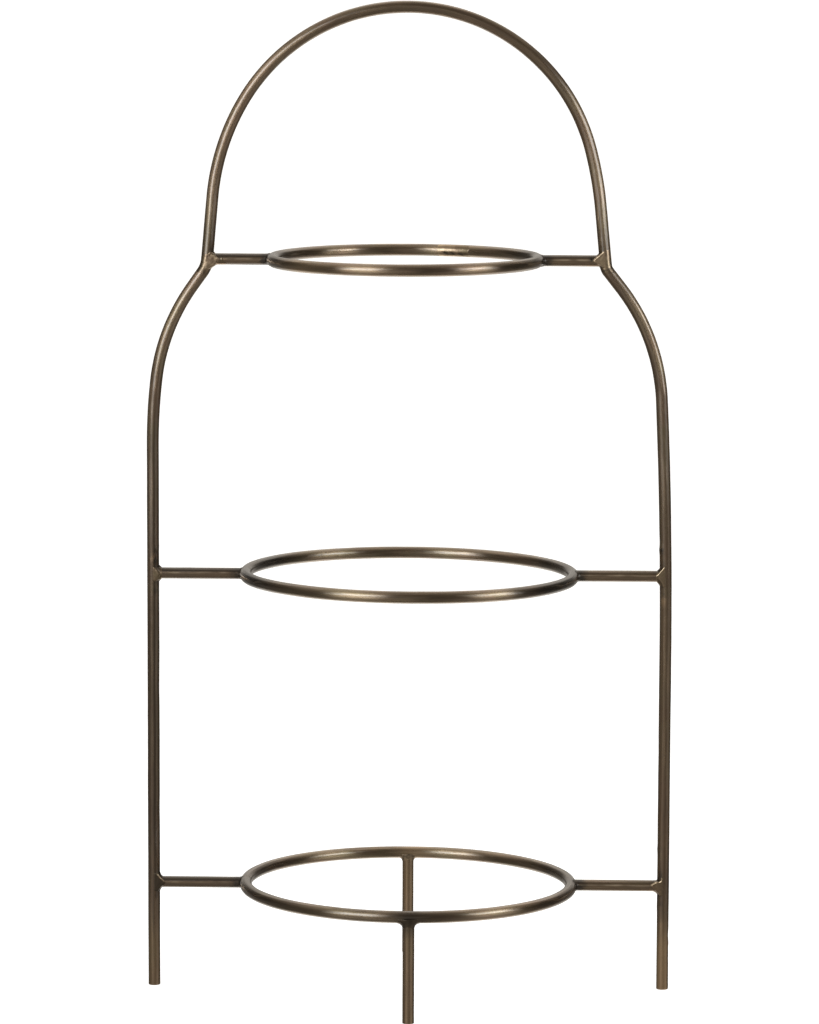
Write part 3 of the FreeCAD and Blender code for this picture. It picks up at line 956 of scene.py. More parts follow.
def shoulder_piece(side, spec):
    """Where arch, side rail and top tie bar meet."""
    s = SIDE[side]
    n0 = NODE[side]
    origin = (n0[0], 0, n0[1])
    eb, em, en = (-s, 0, 0), (0, 0, 1), (0, -1, 0)
    rd = np.array([RAIL_DIR[side][0] * -s, RAIL_DIR[side][1]])
    ad = np.array([ARCH_DIR[side][0] * -s, ARCH_DIR[side][1]])
    zt = RING["top"]["c"][2] - n0[1]
    seed = spec["seed"]
    mitre = ad - rd
    mitre = mitre / np.linalg.norm(mitre)
    inner = (ad + rd) / np.linalg.norm(ad + rd)
    hub = inner * KNEE[side] / math.sin(0.5 * math.acos(float(np.clip(ad @ rd, -1, 1))))

    def along(b, m_, n, d):
        t = b * d[0] + m_ * d[1]
        return np.sqrt(np.maximum(b * b + m_ * m_ + n * n - t * t, 0)) - FRAME_R

    def field(b, m_, n, P):
        k = b * mitre[0] + m_ * mitre[1]
        da, dr = along(b, m_, n, ad), along(b, m_, n, rd)
        dm = np.where(k > 0, da, dr)
        # how far towards the tie bar from the bars' middle line
        u = np.where(k > 0, b * ad[1] - m_ * ad[0], m_ * rd[0] - b * rd[1])
        if KNEE[side]:
            reach = knee_length(side)
            ka, kr = b * ad[0] + m_ * ad[1], b * rd[0] + m_ * rd[1]
            knee = np.hypot(np.hypot(b - hub[0], m_ - hub[1]) - KNEE[side], n) - FRAME_R
            dm = np.where((ka < reach) & (kr < reach), knee, dm)
            u = np.where((ka < reach) & (kr < reach), np.hypot(b - hub[0], m_ - hub[1]) - KNEE[side], u)
        db = np.hypot(m_ - zt, n) - TIE_R + 3.0 * np.maximum(-b, 0)
        w = smooth(zt - 1.0, zt + 1.0, m_)
        la = lerp(spec["low"][0], spec["top"][0], w)
        lb = lerp(spec["low"][1], spec["top"][1], w)
        ch = lerp(spec["low"][2], spec["top"][2], w)
        core = smooth_max(corner_union(dm, db, la, lb, ch), np.abs(n) - 2.985, 0.15)
        # crease: the corners darkened, oxide and painted shade, less below the tie bar
        crease = np.clip(1.0 - np.maximum(np.abs(dm), np.abs(db)) / 1.7, 0, 1) * np.where(m_ > zt, 0.9, 0.5)
        foot = np.hypot((b - 3.0) / 2.2, (m_ - zt + 0.3) / (TIE_R + 0.45 * (la + lb))) * 2.2 - 2.2
        # a narrow ground band right round the mitre between arch and rail
        if KNEE[side]:
            band = np.maximum(ka, kr) - reach - spec["band"] * (1.0 + 0.45 * noise(b * 0.6, m_ * 0.6, n * 0.6, seed + 4))
        else:
            band = np.abs(k + 0.12 * noise(b * 0.7, m_ * 0.7, n * 0.7, seed + 4)) - spec["band"]
        foot = np.minimum(foot, band)
        crease = np.maximum(crease, 0.75 * np.exp(-((np.abs(k - spec.get("seam_k", 0.0)) / 0.35) ** 2)) * spec.get("seam", 0.0) * smooth(3.4, 1.0, b + 0.6 * m_))
        for sign, plates in ((1.0, spec["front"]), (-1.0, spec["back"])):
            for pl in plates:
                p, d2, top = plate_field(b, m_, n, pl, sign)
                p = np.maximum(p, beyond_middle(dm, u, 0.05))
                core = smooth_min(core, p, 0.10)
                on = (sign * n > 0)
                foot = np.where(on, np.minimum(foot, d2 - 0.35), foot)
                crease = crease * np.where(on & (np.abs(top) < 0.25) & (d2 < -0.1), 0.12, 1.0)
        if "tongue" in spec:
            # weld metal run out along the front of the tie bar, ending in a proud lip
            tb, th = spec["tongue"]
            foot = np.where(n > 0, np.minimum(foot, np.maximum(np.abs(m_ - zt) - th, b - tb)), foot)
            core = core - 0.11 * np.exp(-((b - tb + 0.45) / 0.30) ** 2 - ((m_ - zt) / (0.8 * th)) ** 2) * (n > 0)
        # dark spots of oxide and painted shade in the weld's corners
        for (sb, sm, sr, amount) in spec.get("dark_corners", ()):
            crease = np.maximum(crease, amount * np.exp(-((b - sb) ** 2 + (m_ - sm) ** 2) / sr ** 2) * (n > 0))
        lump = spec.get("lump", 0.012)
        lumps = lump * fbm(b * 0.8, m_ * 0.8, n * 0.8 + seed, seed, 3)
        for (pb, pm, pr, pd) in spec.get("pits", ()):
            lumps = lumps + pd * np.exp(-((b - pb) ** 2 + (m_ - pm) ** 2) / pr ** 2) * (n > 0)
        inset = lerp(-0.015, 0.16, smooth(-0.6, 1.0, foot)) + lumps
        if not KNEE[side]:
            inset = np.maximum(inset, lerp(0.06, -0.08, smooth(-0.6, 1.2, np.maximum(u, 2.2 * (spec["band"] - np.abs(k))))))
        f = core + inset
        return np.maximum(f, foot - 1.5), crease * 0.95

    return weld_piece("weld_shoulder_" + side, origin, eb, em, en, field, (-7.6, -8.6, -3.9), (9.5, 12.5, 3.9), 0.2, seed)


SHOULDER_WELD = {
    "right": {
        "seed": 13, "top": (2.0, 1.5, 0.0), "low": (0.9, 0.9, 0.0), "band": 1.1, "seam": 1.0, "seam_k": -0.4,
        "front": [([(0.9, 9.2), (3.4, 7.0), (5.4, 5.3), (6.75, 3.95), (4.3, 2.6), (2.8, 1.9), (1.7, 1.0), (0.2, 0.3), (-1.6, 1.4), (-1.4, 5.0), (-1.0, 9.2)], 2.96, -0.01, -0.004, 0.6,
                   ((1.2, 8.6, 3.4, 6.7, 0.05, 0.34), (3.4, 6.7, 5.4, 5.0, 0.07, 0.34), (5.4, 5.0, 6.5, 4.0, 0.08, 0.34)))],
        "back": [([(0.8, 8.2), (3.0, 6.9), (5.2, 5.2), (6.3, 3.6), (4.4, 2.2), (2.2, 1.2), (0.2, 0.4), (-1.4, 1.6), (-1.2, 6.6)], 2.96, -0.01, 0.0, 0.7)],
        "dark_corners": ((6.7, 4.7, 0.7, 1.0),),
    },
    "left": {
        "seed": 17, "top": (1.2, 1.2, 0.3), "low": (3.0, 2.6, 0.0), "band": 1.5, "seam": 0.0, "lump": 0.032,
        "front": [([(0.3, 6.6), (1.8, 7.1), (3.8, 6.2), (5.5, 4.5), (5.5, 2.6), (3.9, 0.6), (1.8, -0.8), (0.0, -1.4), (-1.6, 1.6), (-1.6, 4.6)], 2.97, -0.01, -0.006, 0.6,
                   ((0.9, 6.6, 1.9, 6.8, 0.05, 0.3), (5.2, 4.4, 5.3, 2.8, 0.05, 0.3)))],
        "back": [([(0.6, 6.8), (2.6, 6.4), (4.9, 5.0), (5.6, 3.2), (4.2, 0.8), (1.8, -0.6), (-1.6, 0.0), (-1.6, 5.0)], 2.97, -0.01, 0.0, 0.7)],
        "pits": ((2.1, 5.9, 0.45, 0.10), (0.9, 4.9, 0.35, 0.07), (3.1, 5.5, 0.4, 0.07), (1.4, 6.6, 0.3, 0.05)),
        "tongue": (8.1, 1.0),
        "dark_corners": ((6.9, 3.5, 0.6, 0.9), (4.8, 6.3, 0.9, 0.8), (1.0, 7.5, 0.7, 0.6), (6.0, 4.8, 0.6, 0.8)),
    },
}


def ring_tie_piece(tier, side, spec):
    """Where a tie bar meets the outside of a ring: a small fillet, sunk in at the foot of the bar."""
    s = SIDE[side]
    c, R, r = RING[tier]["c"], RING[tier]["R"], RING[tier]["r"]
    origin = (c[0] + s * R, 0, c[2])
    eb, em, en = (s, 0, 0), (0, 1, 0), (0, 0, 1)
    seed = spec["seed"]

    def field(b, m_, n, P):
        dm = torus_field(P, tier)
        db = np.hypot(m_, n) - TIE_R + np.maximum(-b, 0)
        up_w = smooth(-1.0, 1.0, n)
        la = lerp(spec["low"], spec["top"], up_w) * (1.0 + 0.25 * noise(m_ * 0.5, n * 0.5, 3.3, seed))
        core = corner_union(dm, db, la, 0.75 * la, 0.2)
        # crease: the fillet darkened, oxide and painted shade
        crease = np.clip(1.25 - np.maximum(np.abs(dm), np.abs(db)) / 2.2, 0, 1)
        foot = np.maximum(dm - la * 1.05, db - la * 0.9)
        lumps = 0.045 * fbm(b * 1.1, m_ * 1.1, n * 1.1, seed, 3)
        inset = lerp(-0.05, 0.2, smooth(-0.5, 0.45, foot)) + lumps
        f = core + inset
        return np.maximum(np.maximum(f, foot - 0.9), 1.2 - b), crease

    return weld_piece("weld_%s_%s_ring" % (tier, side), origin, eb, em, en, field, (0.8, -5.2, -5.2), (7.2, 5.2, 5.2), 0.21, seed)


def leg_piece(which, spec):
    x, y = LEG_AT[which]
    c, R, r = RING["bottom"]["c"], RING["bottom"]["R"], RING["bottom"]["r"]
    yr = -math.sqrt(R * R - (x - c[0]) ** 2) if which == "front" else math.sqrt(R * R - (x - c[0]) ** 2)
    origin = (x, yr, c[2])
    eb, em, en = (0, 0, -1), (1, 0, 0), (0, -1, 0)
    seed = spec["seed"]
    dy = y - yr

    def field(b, m_, n, P):
        dm = torus_field(P, "bottom")
        db = np.hypot(m_, n + dy) - LEG_R + np.maximum(-b, 0)
        la = spec["reach"] * (1.0 + 0.12 * noise(m_ * 0.5, n * 0.5, 3.3, seed))
        core = corner_union(dm, db, la, la * spec["spread"], 0.0)
        # crease: the fillet darkened, oxide and painted shade
        crease = np.clip(1.0 - np.maximum(np.abs(dm), np.abs(db)) / 2.0, 0, 1)
        foot = np.maximum(dm - la * 1.05, db - la * spec["spread"] * 1.05)
        lumps = spec["lump"] * fbm(b * 1.0, m_ * 1.0, n * 1.0, seed, 3)
        inset = lerp(-0.06, 0.2, smooth(-0.5, 0.5, foot)) + lumps
        f = core + inset
        return np.maximum(np.maximum(f, foot - 0.9), 0.6 - b), crease * 0.9

    return weld_piece("weld_leg_" + which, origin, eb, em, en, field, (0.2, -6.6, -5.6), (8.2, 6.6, 5.6), 0.21, seed)


def seam_piece(tier, spec):
    """The ring's butt weld: a ground collar with pits along it."""
    c, R, r = RING[tier]["c"], RING[tier]["R"], RING[tier]["r"]
    a = math.radians(SEAM_DEG[tier])
    d = np.array([math.cos(a), math.sin(a), 0])
    t = np.array([-math.sin(a), math.cos(a), 0])
    origin = c + d * R
    half, scar = spec["half"], spec["scar"]
    seed = spec["seed"]

    def field(b, m_, n, P):
        dm = torus_field(P, tier)
        edge = np.abs(m_) - half * (1.0 + min(0.35, 0.8 / half) * noise(b * 0.8, n * 0.8, 1.7, seed))
        lumps = 0.03 * fbm(b * 0.9, m_ * 0.6, n * 0.9, seed, 3)
        pits = 0.0
        dark = 0.0
        for (pm, ang, pr, pd) in scar:
            cb, cn = math.cos(math.radians(ang)) * r, math.sin(math.radians(ang)) * r
            g = np.exp(-(((m_ - pm) / (1.7 * pr)) ** 2 + ((b - cb) ** 2 + (n - cn) ** 2) / pr ** 2))
            pits = pits + pd * g
            # the pits darkened: oxide and painted shade in them
            dark = dark + 0.95 * g * (1.0 if pd > 0 else 0.0)
        inset = lerp(-0.02, 0.16, smooth(-1.6, 0.8, edge)) + lumps * smooth(0.9, -0.6, edge) + pits
        return np.maximum(dm + inset, edge - 1.1), np.clip(dark, 0, 1)

    reach = half * 1.35 + 2.0
    return weld_piece("weld_ring_%s_seam" % tier, origin, tuple(d), tuple(t), (0, 0, 1), field, (-r - 1.0 - reach ** 2 / (2 * R), -reach, -r - 1.0), (r + 1.0, reach, r + 1.0), 0.21, seed)


RING_TIE = {
    ("top", "left"): {"seed": 31, "top": 0.9, "low": 0.8}, ("top", "right"): {"seed": 33, "top": 0.8, "low": 1.0},
    ("middle", "left"): {"seed": 35, "top": 0.7, "low": 1.3}, ("middle", "right"): {"seed": 37, "top": 0.8, "low": 0.8},
    ("bottom", "left"): {"seed": 39, "top": 0.8, "low": 1.4}, ("bottom", "right"): {"seed": 41, "top": 1.2, "low": 0.8},
}
LEG_WELD = {"front": {"seed": 51, "reach": 2.3, "spread": 1.15, "lump": 0.06}, "rear": {"seed": 53, "reach": 1.6, "spread": 0.9, "lump": 0.15}}
SEAM = {
    "top": {"seed": 61, "half": 9.0, "scar": ((4.7, 200, 0.55, 0.20), (3.4, 207, 0.66, 0.24), (1.3, 203, 0.50, 0.17), (0.1, 210, 0.62, 0.20), (-3.1, 206, 0.46, 0.14), (-4.5, 210, 0.58, 0.19), (-6.6, 200, 0.34, 0.12),
                                              (2.6, 196, 0.5, -0.04), (-1.4, 199, 0.6, -0.05), (-5.6, 197, 0.5, -0.04))},
    "middle": {"seed": 63, "half": 1.6, "scar": ((0.0, 70, 0.5, 0.08), (0.3, 250, 0.5, 0.08))},
    "bottom": {"seed": 65, "half": 1.6, "scar": ((0.1, 60, 0.5, 0.08), (-0.2, 290, 0.5, 0.08))},
}

WELDS = {}
for (tier, side), spec in TEE.items():
    WELDS["weld_%s_%s_rail" % (tier, side)] = tee_weld_piece(side, tier, spec)
for side, spec in SHOULDER_WELD.items():
    WELDS["weld_shoulder_" + side] = shoulder_piece(side, spec)
for (tier, side), spec in RING_TIE.items():
    WELDS["weld_%s_%s_ring" % (tier, side)] = ring_tie_piece(tier, side, spec)
for which, spec in LEG_WELD.items():
    WELDS["weld_leg_" + which] = leg_piece(which, spec)
for tier, spec in SEAM.items():
    WELDS["weld_ring_%s_seam" % tier] = seam_piece(tier, spec)
PIECES.update(WELDS)

# =====================================================================================
# Ride, replace, slots
# =====================================================================================
SLOT = {"side": "antique_brass_frame", "arch": "antique_brass_frame", "ring": "antique_brass_ring", "tie": "antique_brass_tie_bar", "leg": "antique_brass_leg", "weld": "weld_metal"}
for node, ob in PIECES.items():
    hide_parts(node)
    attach(ob, "root")
    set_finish(ob, SLOT[node.split("_")[0]])

# =====================================================================================
# Oxide and painted shade: dark oxide and painted shade in the corners and at the feet of the bars, as a value per point
# =====================================================================================


WEAR_AND_PAINTED_SHADE = {
    # foot, between the tiers, above the middle tier, shoulder, painted shade line a little inside the middle
    "rail_left": (0.67, -0.30, -0.25, -0.22, -0.40), "rail_right": (1.27, 0.40, 0.02, -0.20, -0.15),
    "arch": (0.13, 0.22, 0.05),
    "ring_top": 0.26, "ring_middle": -0.22, "ring_bottom": 0.08,
    "leg_front": 0.52, "leg_rear": 0.73,
    "weld_shoulder_left": 0.55, "weld_shoulder_right": 0.65, "weld_middle_left_rail": -0.2, "weld_bottom_left_rail": -0.85,
    "weld_bottom_right_rail": -0.10, "weld_middle_right_rail": 0.0,
    "weld_leg_front": -0.75, "weld_leg_rear": 1.2, "weld_ring_top_seam": 0.55,
}
for tier_, side_ in (("top", "left"), ("top", "right"), ("middle", "left"), ("middle", "right"), ("bottom", "left"), ("bottom", "right")):
    WEAR_AND_PAINTED_SHADE["weld_%s_%s_ring" % (tier_, side_)] = -0.7
# painted highlights (+) and painted shade (-) in bands round each ring: degrees from +X, spread, amount
RING_PAINTED_LIGHT = {
    "top": ((-138, 12, 0.6), (-80, 14, -0.35), (-28, 20, -0.4), (118, 12, -0.3), (82, 6, -0.4), (18, 13, -0.3)),
    "middle": ((-158, 14, -0.65), (-107, 7, 0.5), (-60, 5, 0.4), (-49, 4, -0.3), (-28, 15, -0.75), (155, 14, -0.6), (43, 7, 0.35), (30, 6, -0.3)),
    "bottom": ((90, 7, 0.7), (-140, 26, -0.45), (-105, 10, -0.6), (-77, 9, -0.45), (-45, 7, 0.35), (158, 12, -0.4), (28, 8, -0.4)),
}
# across from the rail's middle, height, radius, amount
MARKS = {
    "left": ((-0.5, 215.4, 1.6, 1.2), (1.1, 214.6, 1.8, -0.8), (1.6, 219.0, 2.0, -0.4), (1.4, 199.5, 1.6, -0.5), (0.5, 217.0, 1.3, 0.9), (1.2, 45.5, 1.8, -0.5)),
    "right": ((-2.3, 221.2, 1.7, -1.0), (-1.0, 199.6, 1.5, -0.8), (-1.4, 196.0, 2.5, 0.8), (-2.0, 70.5, 2.0, -0.6), (-1.3, 43.5, 1.8, -0.6), (-1.0, 33.0, 2.4, 0.4)),
}
# tie bars: all over, painted shade on the upper side, a painted highlight line at this height, painted shade on the
# lower side
TIE_TONE_AND_PAINTED_LIGHT = {
    ("top", "left"): (-0.25, -1.1, 1.8, 0.15, -0.5), ("top", "right"): (0.10, -0.9, 1.9, 0.55, -0.5),
    ("middle", "left"): (-0.35, -1.1, 1.5, 0.70, -0.5), ("middle", "right"): (0.0, -0.5, 1.5, 0.65, -0.5),
    ("bottom", "left"): (-0.50, -0.8, 1.1, 0.45, -0.5), ("bottom", "right"): (0.10, -0.5, 1.4, 0.60, -0.5),
}


def points_mm(ob):
    co = np.zeros(len(ob.data.vertices) * 3)
    ob.data.vertices.foreach_get("co", co)
    return co.reshape(-1, 3) / MM


def add_oxide_and_shade(node, value):
    set_attr(PIECES[node], "oxide_and_shade", np.clip(value, 0, 1))


# tie bars: oxide and painted shade next to the ring, on the upper side next to the rail, and a dark spot by the
# shoulders
for tier in RING:
    c, R, r = RING[tier]["c"], RING[tier]["R"], RING[tier]["r"]
    for side, s in SIDE.items():
        node = "tie_bar_%s_%s" % (tier, side)
        P = points_mm(PIECES[node])
        out = s * (P[:, 0] - c[0]) - (R + r)                      # from the ring outwards
        wave = noise(P[:, 1] * 0.6, P[:, 2] * 0.6, P[:, 0] * 0.35, 5)
        near_ring = smooth(3.0 if (tier, side) == ("top", "left") else 6.2, 1.2, out + 1.4 * wave)
        x_rail = s * RAIL_X - s * FRAME_R if tier != "top" else NODE[side][0] - s * 1.5
        inn = s * (x_rail - P[:, 0])
        near_rail = smooth(4.5, 0.5, inn + 1.0 * wave) * smooth(-0.5, 1.5, P[:, 2] - c[2])
        g = 0.9 * near_ring + 0.7 * near_rail
        if tier == "top":
            bb = s * (NODE[side][0] - P[:, 0])
            hb = 7.0 if side == "left" else 7.3
            hm = 0.0 if side == "left" else 0.9
            g = g + 1.2 * np.exp(-((bb - hb) ** 2 + (P[:, 2] - c[2] - hm) ** 2) / 0.95 ** 2) * (P[:, 1] < 0)
        add_oxide_and_shade(node, g)
# side rails: oxide and painted shade on the inner side above and below each tie bar
for side, s in SIDE.items():
    P = points_mm(PIECES["side_rail_" + side])
    g = np.zeros(len(P))
    inner = smooth(-0.4, 1.0, -s * (P[:, 0] - s * RAIL_X) / FRAME_R)
    for tier in ("middle", "bottom"):
        dz = P[:, 2] - RING[tier]["c"][2]
        g = np.maximum(g, inner * (smooth(9.5, 3.5, dz) * (dz > 0) + 0.8 * smooth(-8.5, -3.5, dz) * (dz <= 0)) * (0.75 + 0.4 * noise(P[:, 0] * 0.7, P[:, 1] * 0.7, P[:, 2] * 0.5, 9)))
    add_oxide_and_shade("side_rail_" + side, g)
# arch: oxide and painted shade on the inner side above the top tie bars
P = points_mm(PIECES["arch_handle"])
g = np.zeros(len(P))
for side, s in SIDE.items():
    dz = P[:, 2] - RING["top"]["c"][2]
    inner = smooth(-0.3, 1.0, -s * (P[:, 0] - (NODE[side][0] + ARCH_DIR[side][0] / ARCH_DIR[side][1] * (P[:, 2] - NODE[side][1]))) / FRAME_R)
    g = np.maximum(g, inner * smooth(10.0, 3.0, dz) * (s * P[:, 0] > 0))
    # painted shade: the outer side of the arch darker low down near the shoulders
    outer = smooth(0.30, 0.72, s * (P[:, 0] - (NODE[side][0] + ARCH_DIR[side][0] / ARCH_DIR[side][1] * (P[:, 2] - NODE[side][1]))) / FRAME_R)
    g = np.maximum(g, (0.62 if side == "left" else 0.30) * outer * smooth(34.0, 14.0, dz) * (s * P[:, 0] > 0))
add_oxide_and_shade("arch_handle", g * 0.9)
# rings: oxide and painted shade at the tie bars and round the front leg
for tier in RING:
    c, R, r = RING[tier]["c"], RING[tier]["R"], RING[tier]["r"]
    P = points_mm(PIECES["ring_" + tier])
    d = np.minimum(*[np.linalg.norm(P - np.array([c[0] + s * (R + r * 0.8), 0, c[2]]), axis=1) for s in (-1, 1)])
    g = 0.5 * smooth(3.4, 2.4, d)
    if tier == "bottom":
        for which, amount in (("front", 0.75), ("rear", 0.05)):
            q = np.array([LEG_AT[which][0], LEG_AT[which][1], c[2] - r])
            g = np.maximum(g, amount * smooth(6.0, 3.0, np.linalg.norm(P - q, axis=1)))
    add_oxide_and_shade("ring_" + tier, g)
# legs: oxide and painted shade below the ring
for which in LEG_AT:
    P = points_mm(PIECES["leg_" + which])
    top = RING["bottom"]["c"][2] - RING["bottom"]["r"]
    add_oxide_and_shade("leg_" + which, (0.6 if which == "front" else 0.12) * smooth(-9.0, -2.0, P[:, 2] - top))

# ===================================================================================== Wear and painted light: stretches left lighter (+) or darker (-) by the belt, and painted highlights (+) and painted shade (-) on the rings, tie bars, rail fronts and weld edges, as a value per point
# Wear: stretches left lighter (+) or darker (-) by the belt, as a value per point
# =====================================================================================
for side, s in SIDE.items():
    P = points_mm(PIECES["side_rail_" + side])
    z = P[:, 2]
    inner = -s * (P[:, 0] - s * RAIL_X) / FRAME_R
    w = WEAR_AND_PAINTED_SHADE["rail_" + side][0] * smooth(46.0, 18.0, z)
    w = w + WEAR_AND_PAINTED_SHADE["rail_" + side][1] * smooth(46.0, 80.0, z) * smooth(215.0, 185.0, z)
    w = w + WEAR_AND_PAINTED_SHADE["rail_" + side][2] * smooth(200.0, 225.0, z) * smooth(300.0, 270.0, z)
    w = w + WEAR_AND_PAINTED_SHADE["rail_" + side][3] * smooth(280.0, 310.0, z)
    # a painted shade line down the front, a little inside the middle
    across = (P[:, 0] - s * RAIL_X) / FRAME_R + 0.08 * noise(z / 14.0, z * 0.0, z * 0.0 + 4.4, 47)
    w = w + WEAR_AND_PAINTED_SHADE["rail_" + side][4] * np.exp(-((across - 0.24) / 0.20) ** 2) * (P[:, 1] < 0) * smooth(40.0, 60.0, z) * smooth(330.0, 290.0, z)
    # a few marks left by the torch and the grinder
    for (mx, mz, mr, amount) in MARKS[side]:
        w = w + amount * np.exp(-((P[:, 0] - s * RAIL_X - mx) / (0.6 * mr)) ** 2 - ((z - mz) / mr) ** 2) * (P[:, 1] < 0)
    set_attr(PIECES["side_rail_" + side], "wear_and_painted_light", w)
P = points_mm(PIECES["arch_handle"])
high = smooth(440.0, 482.0, P[:, 2])
low = smooth(36.0, 12.0, P[:, 2] - np.where(P[:, 0] < 0, NODE["left"][1], NODE["right"][1]))
set_attr(PIECES["arch_handle"], "wear_and_painted_light", np.where(P[:, 0] < 0, WEAR_AND_PAINTED_SHADE["arch"][0], WEAR_AND_PAINTED_SHADE["arch"][1]) * (1 - high) + WEAR_AND_PAINTED_SHADE["arch"][2] * high - 0.65 * low)
for tier in RING:
    P = points_mm(PIECES["ring_" + tier])
    w = np.full(len(P), WEAR_AND_PAINTED_SHADE["ring_" + tier])
    polar = np.degrees(np.arctan2(P[:, 1], P[:, 0] - RING[tier]["c"][0]))
    # painted highlights and painted shade in bands round the ring
    for (at, spread, amount) in RING_PAINTED_LIGHT[tier]:
        off = (polar - at + 180.0) % 360.0 - 180.0
        w = w + amount * np.exp(-(off / spread) ** 2)
    if tier == "bottom":
        # painted shade and oxide along the ring's front round the front leg
        w = w - 0.75 * np.exp(-((P[:, 0] - LEG_AT["front"][0]) / 9.0) ** 2) * (P[:, 1] < 0)
    set_attr(PIECES["ring_" + tier], "wear_and_painted_light", w)
    for side in SIDE:
        ob = PIECES["tie_bar_%s_%s" % (tier, side)]
        h = points_mm(ob)[:, 2] - RING[tier]["c"][2]
        y = points_mm(ob)[:, 1]
        x = points_mm(ob)[:, 0]
        # painted shade above and below, and a painted highlight line along the front
        base, upper, bright, height, lower = TIE_TONE_AND_PAINTED_LIGHT[tier, side]
        drift = 0.18 * noise(x / 9.0, h * 0.0, y * 0.0 + 3.3, 41)
        line = np.exp(-((h - height - drift) / 0.42) ** 2) * (y < 0) * (0.75 + 0.5 * noise(x / 4.0, h * 0.0 + 2.0, y * 0.0, 43))
        set_attr(ob, "wear_and_painted_light", base + upper * smooth(0.9, 1.7, h) + bright * line + lower * smooth(-1.6, -2.2, h))
for which in LEG_AT:
    ob = PIECES["leg_" + which]
    set_attr(ob, "wear_and_painted_light", np.full(len(ob.data.vertices), WEAR_AND_PAINTED_SHADE["leg_" + which]))
for node, ob in WELDS.items():
    P = points_mm(ob)
    v = np.full(len(P), WEAR_AND_PAINTED_SHADE.get(node, 0.0))
    if node.startswith("weld_shoulder"):
        side = node.rsplit("_", 1)[1]
        b = -SIDE[side] * (P[:, 0] - NODE[side][0])
        m = P[:, 2] - NODE[side][1]
        plate = polygon_sdf(b, m, SHOULDER_WELD[side]["front"][0][0])
        v = lerp(v, -0.35, smooth(0.0, 1.6, plate + 0.5 * noise(b, m, b * 0.0, 7)))
        v = lerp(v, -0.1, smooth(5.6, 7.0, b))
        if side == "left":
            # the torch left this plate blotchy
            v = v + smooth(0.4, -0.4, plate) * (0.75 * noise(b * 0.95, m * 0.95, b * 0.0 + 2.0, 79) - 0.12)
        spec = SHOULDER_WELD[side]
    elif node.endswith("_rail"):
        tier, side = node.split("_")[1:3]
        b = SIDE[side] * RAIL_X * SIDE[side] - SIDE[side] * P[:, 0]
        m = P[:, 2] - RING[tier]["c"][2]
        spec = TEE[tier, side]
    else:
        spec = None
    if node == "weld_leg_rear":
        v = v + 0.9 * noise(P[:, 0] * 1.1, P[:, 2] * 1.1, P[:, 1] * 1.1, 73)
    if node == "weld_ring_top_seam":
        a = math.radians(SEAM_DEG["top"])
        along = -math.sin(a) * (P[:, 0] - RING["top"]["c"][0]) + math.cos(a) * P[:, 1]
        v = v + 0.05 * along + 0.25 * noise(along * 0.5, P[:, 2] * 0.8, P[:, 1] * 0.0, 71)
    if spec:
        # a painted highlight along the raised edges
        for (b0, m0, b1, m1, height, width) in spec["front"][0][5]:
            t = np.clip(((b - b0) * (b1 - b0) + (m - m0) * (m1 - m0)) / ((b1 - b0) ** 2 + (m1 - m0) ** 2), 0, 1)
            v = v + 1.7 * min(1.0, height / 0.09) ** 2 * np.exp(-((b - b0 - t * (b1 - b0)) ** 2 + (m - m0 - t * (m1 - m0)) ** 2) / 0.32 ** 2) * (P[:, 1] < 0)
    set_attr(ob, "wear_and_painted_light", v)

# =====================================================================================
# Materials: brushed, antiqued and lacquered brass
# =====================================================================================


class Nodes:
    def __init__(self, mat):
        mat.use_nodes = True
        self.t = mat.node_tree
        self.t.nodes.clear()

    def new(self, kind, **props):
        n = self.t.nodes.new(kind)
        for k, v in props.items():
            setattr(n, k, v)
        return n

    def link(self, a, b):
        self.t.links.new(a, b)

    def math(self, op, a, b=None, c=None, clamp=False):
        n = self.new("ShaderNodeMath", operation=op, use_clamp=clamp)
        for i, v in enumerate((a, b, c)):
            if v is None:
                continue
            if isinstance(v, (int, float)):
                n.inputs[i].default_value = v
            else:
                self.link(v, n.inputs[i])
        return n.outputs[0]

    def scaled(self, vec, scale):
        n = self.new("ShaderNodeVectorMath", operation="MULTIPLY")
        self.link(vec, n.inputs[0])
        n.inputs[1].default_value = scale
        return n.outputs[0]

    def shifted(self, vec, d):
        n = self.new("ShaderNodeVectorMath", operation="ADD")
        self.link(vec, n.inputs[0])
        n.inputs[1].default_value = d
        return n.outputs[0]

    def noise(self, vec, scale=1.0, detail=2.0, rough=0.5, distortion=0.0):
        n = self.new("ShaderNodeTexNoise", noise_dimensions="3D")
        self.link(vec, n.inputs["Vector"])
        n.inputs["Scale"].default_value = scale
        n.inputs["Detail"].default_value = detail
        n.inputs["Roughness"].default_value = rough
        n.inputs["Distortion"].default_value = distortion
        return n.outputs["Fac"] if "Fac" in n.outputs else n.outputs[0]

    def span(self, v, a, b, lo=0.0, hi=1.0):
        n = self.new("ShaderNodeMapRange", interpolation_type="SMOOTHSTEP", clamp=True)
        self.link(v, n.inputs["Value"])
        n.inputs["From Min"].default_value = a
        n.inputs["From Max"].default_value = b
        n.inputs["To Min"].default_value = lo
        n.inputs["To Max"].default_value = hi
        return n.outputs[0]

    def mix(self, fac, a, b):
        n = self.new("ShaderNodeMix", data_type="RGBA", blend_type="MIX")
        n.inputs[0].default_value = 0.5
        if isinstance(fac, (int, float)):
            n.inputs[0].default_value = fac
        else:
            self.link(fac, n.inputs[0])
        for i, v in ((6, a), (7, b)):
            if isinstance(v, tuple):
                n.inputs[i].default_value = v + (1.0,) if len(v) == 3 else v
            else:
                self.link(v, n.inputs[i])
        return n.outputs[2]


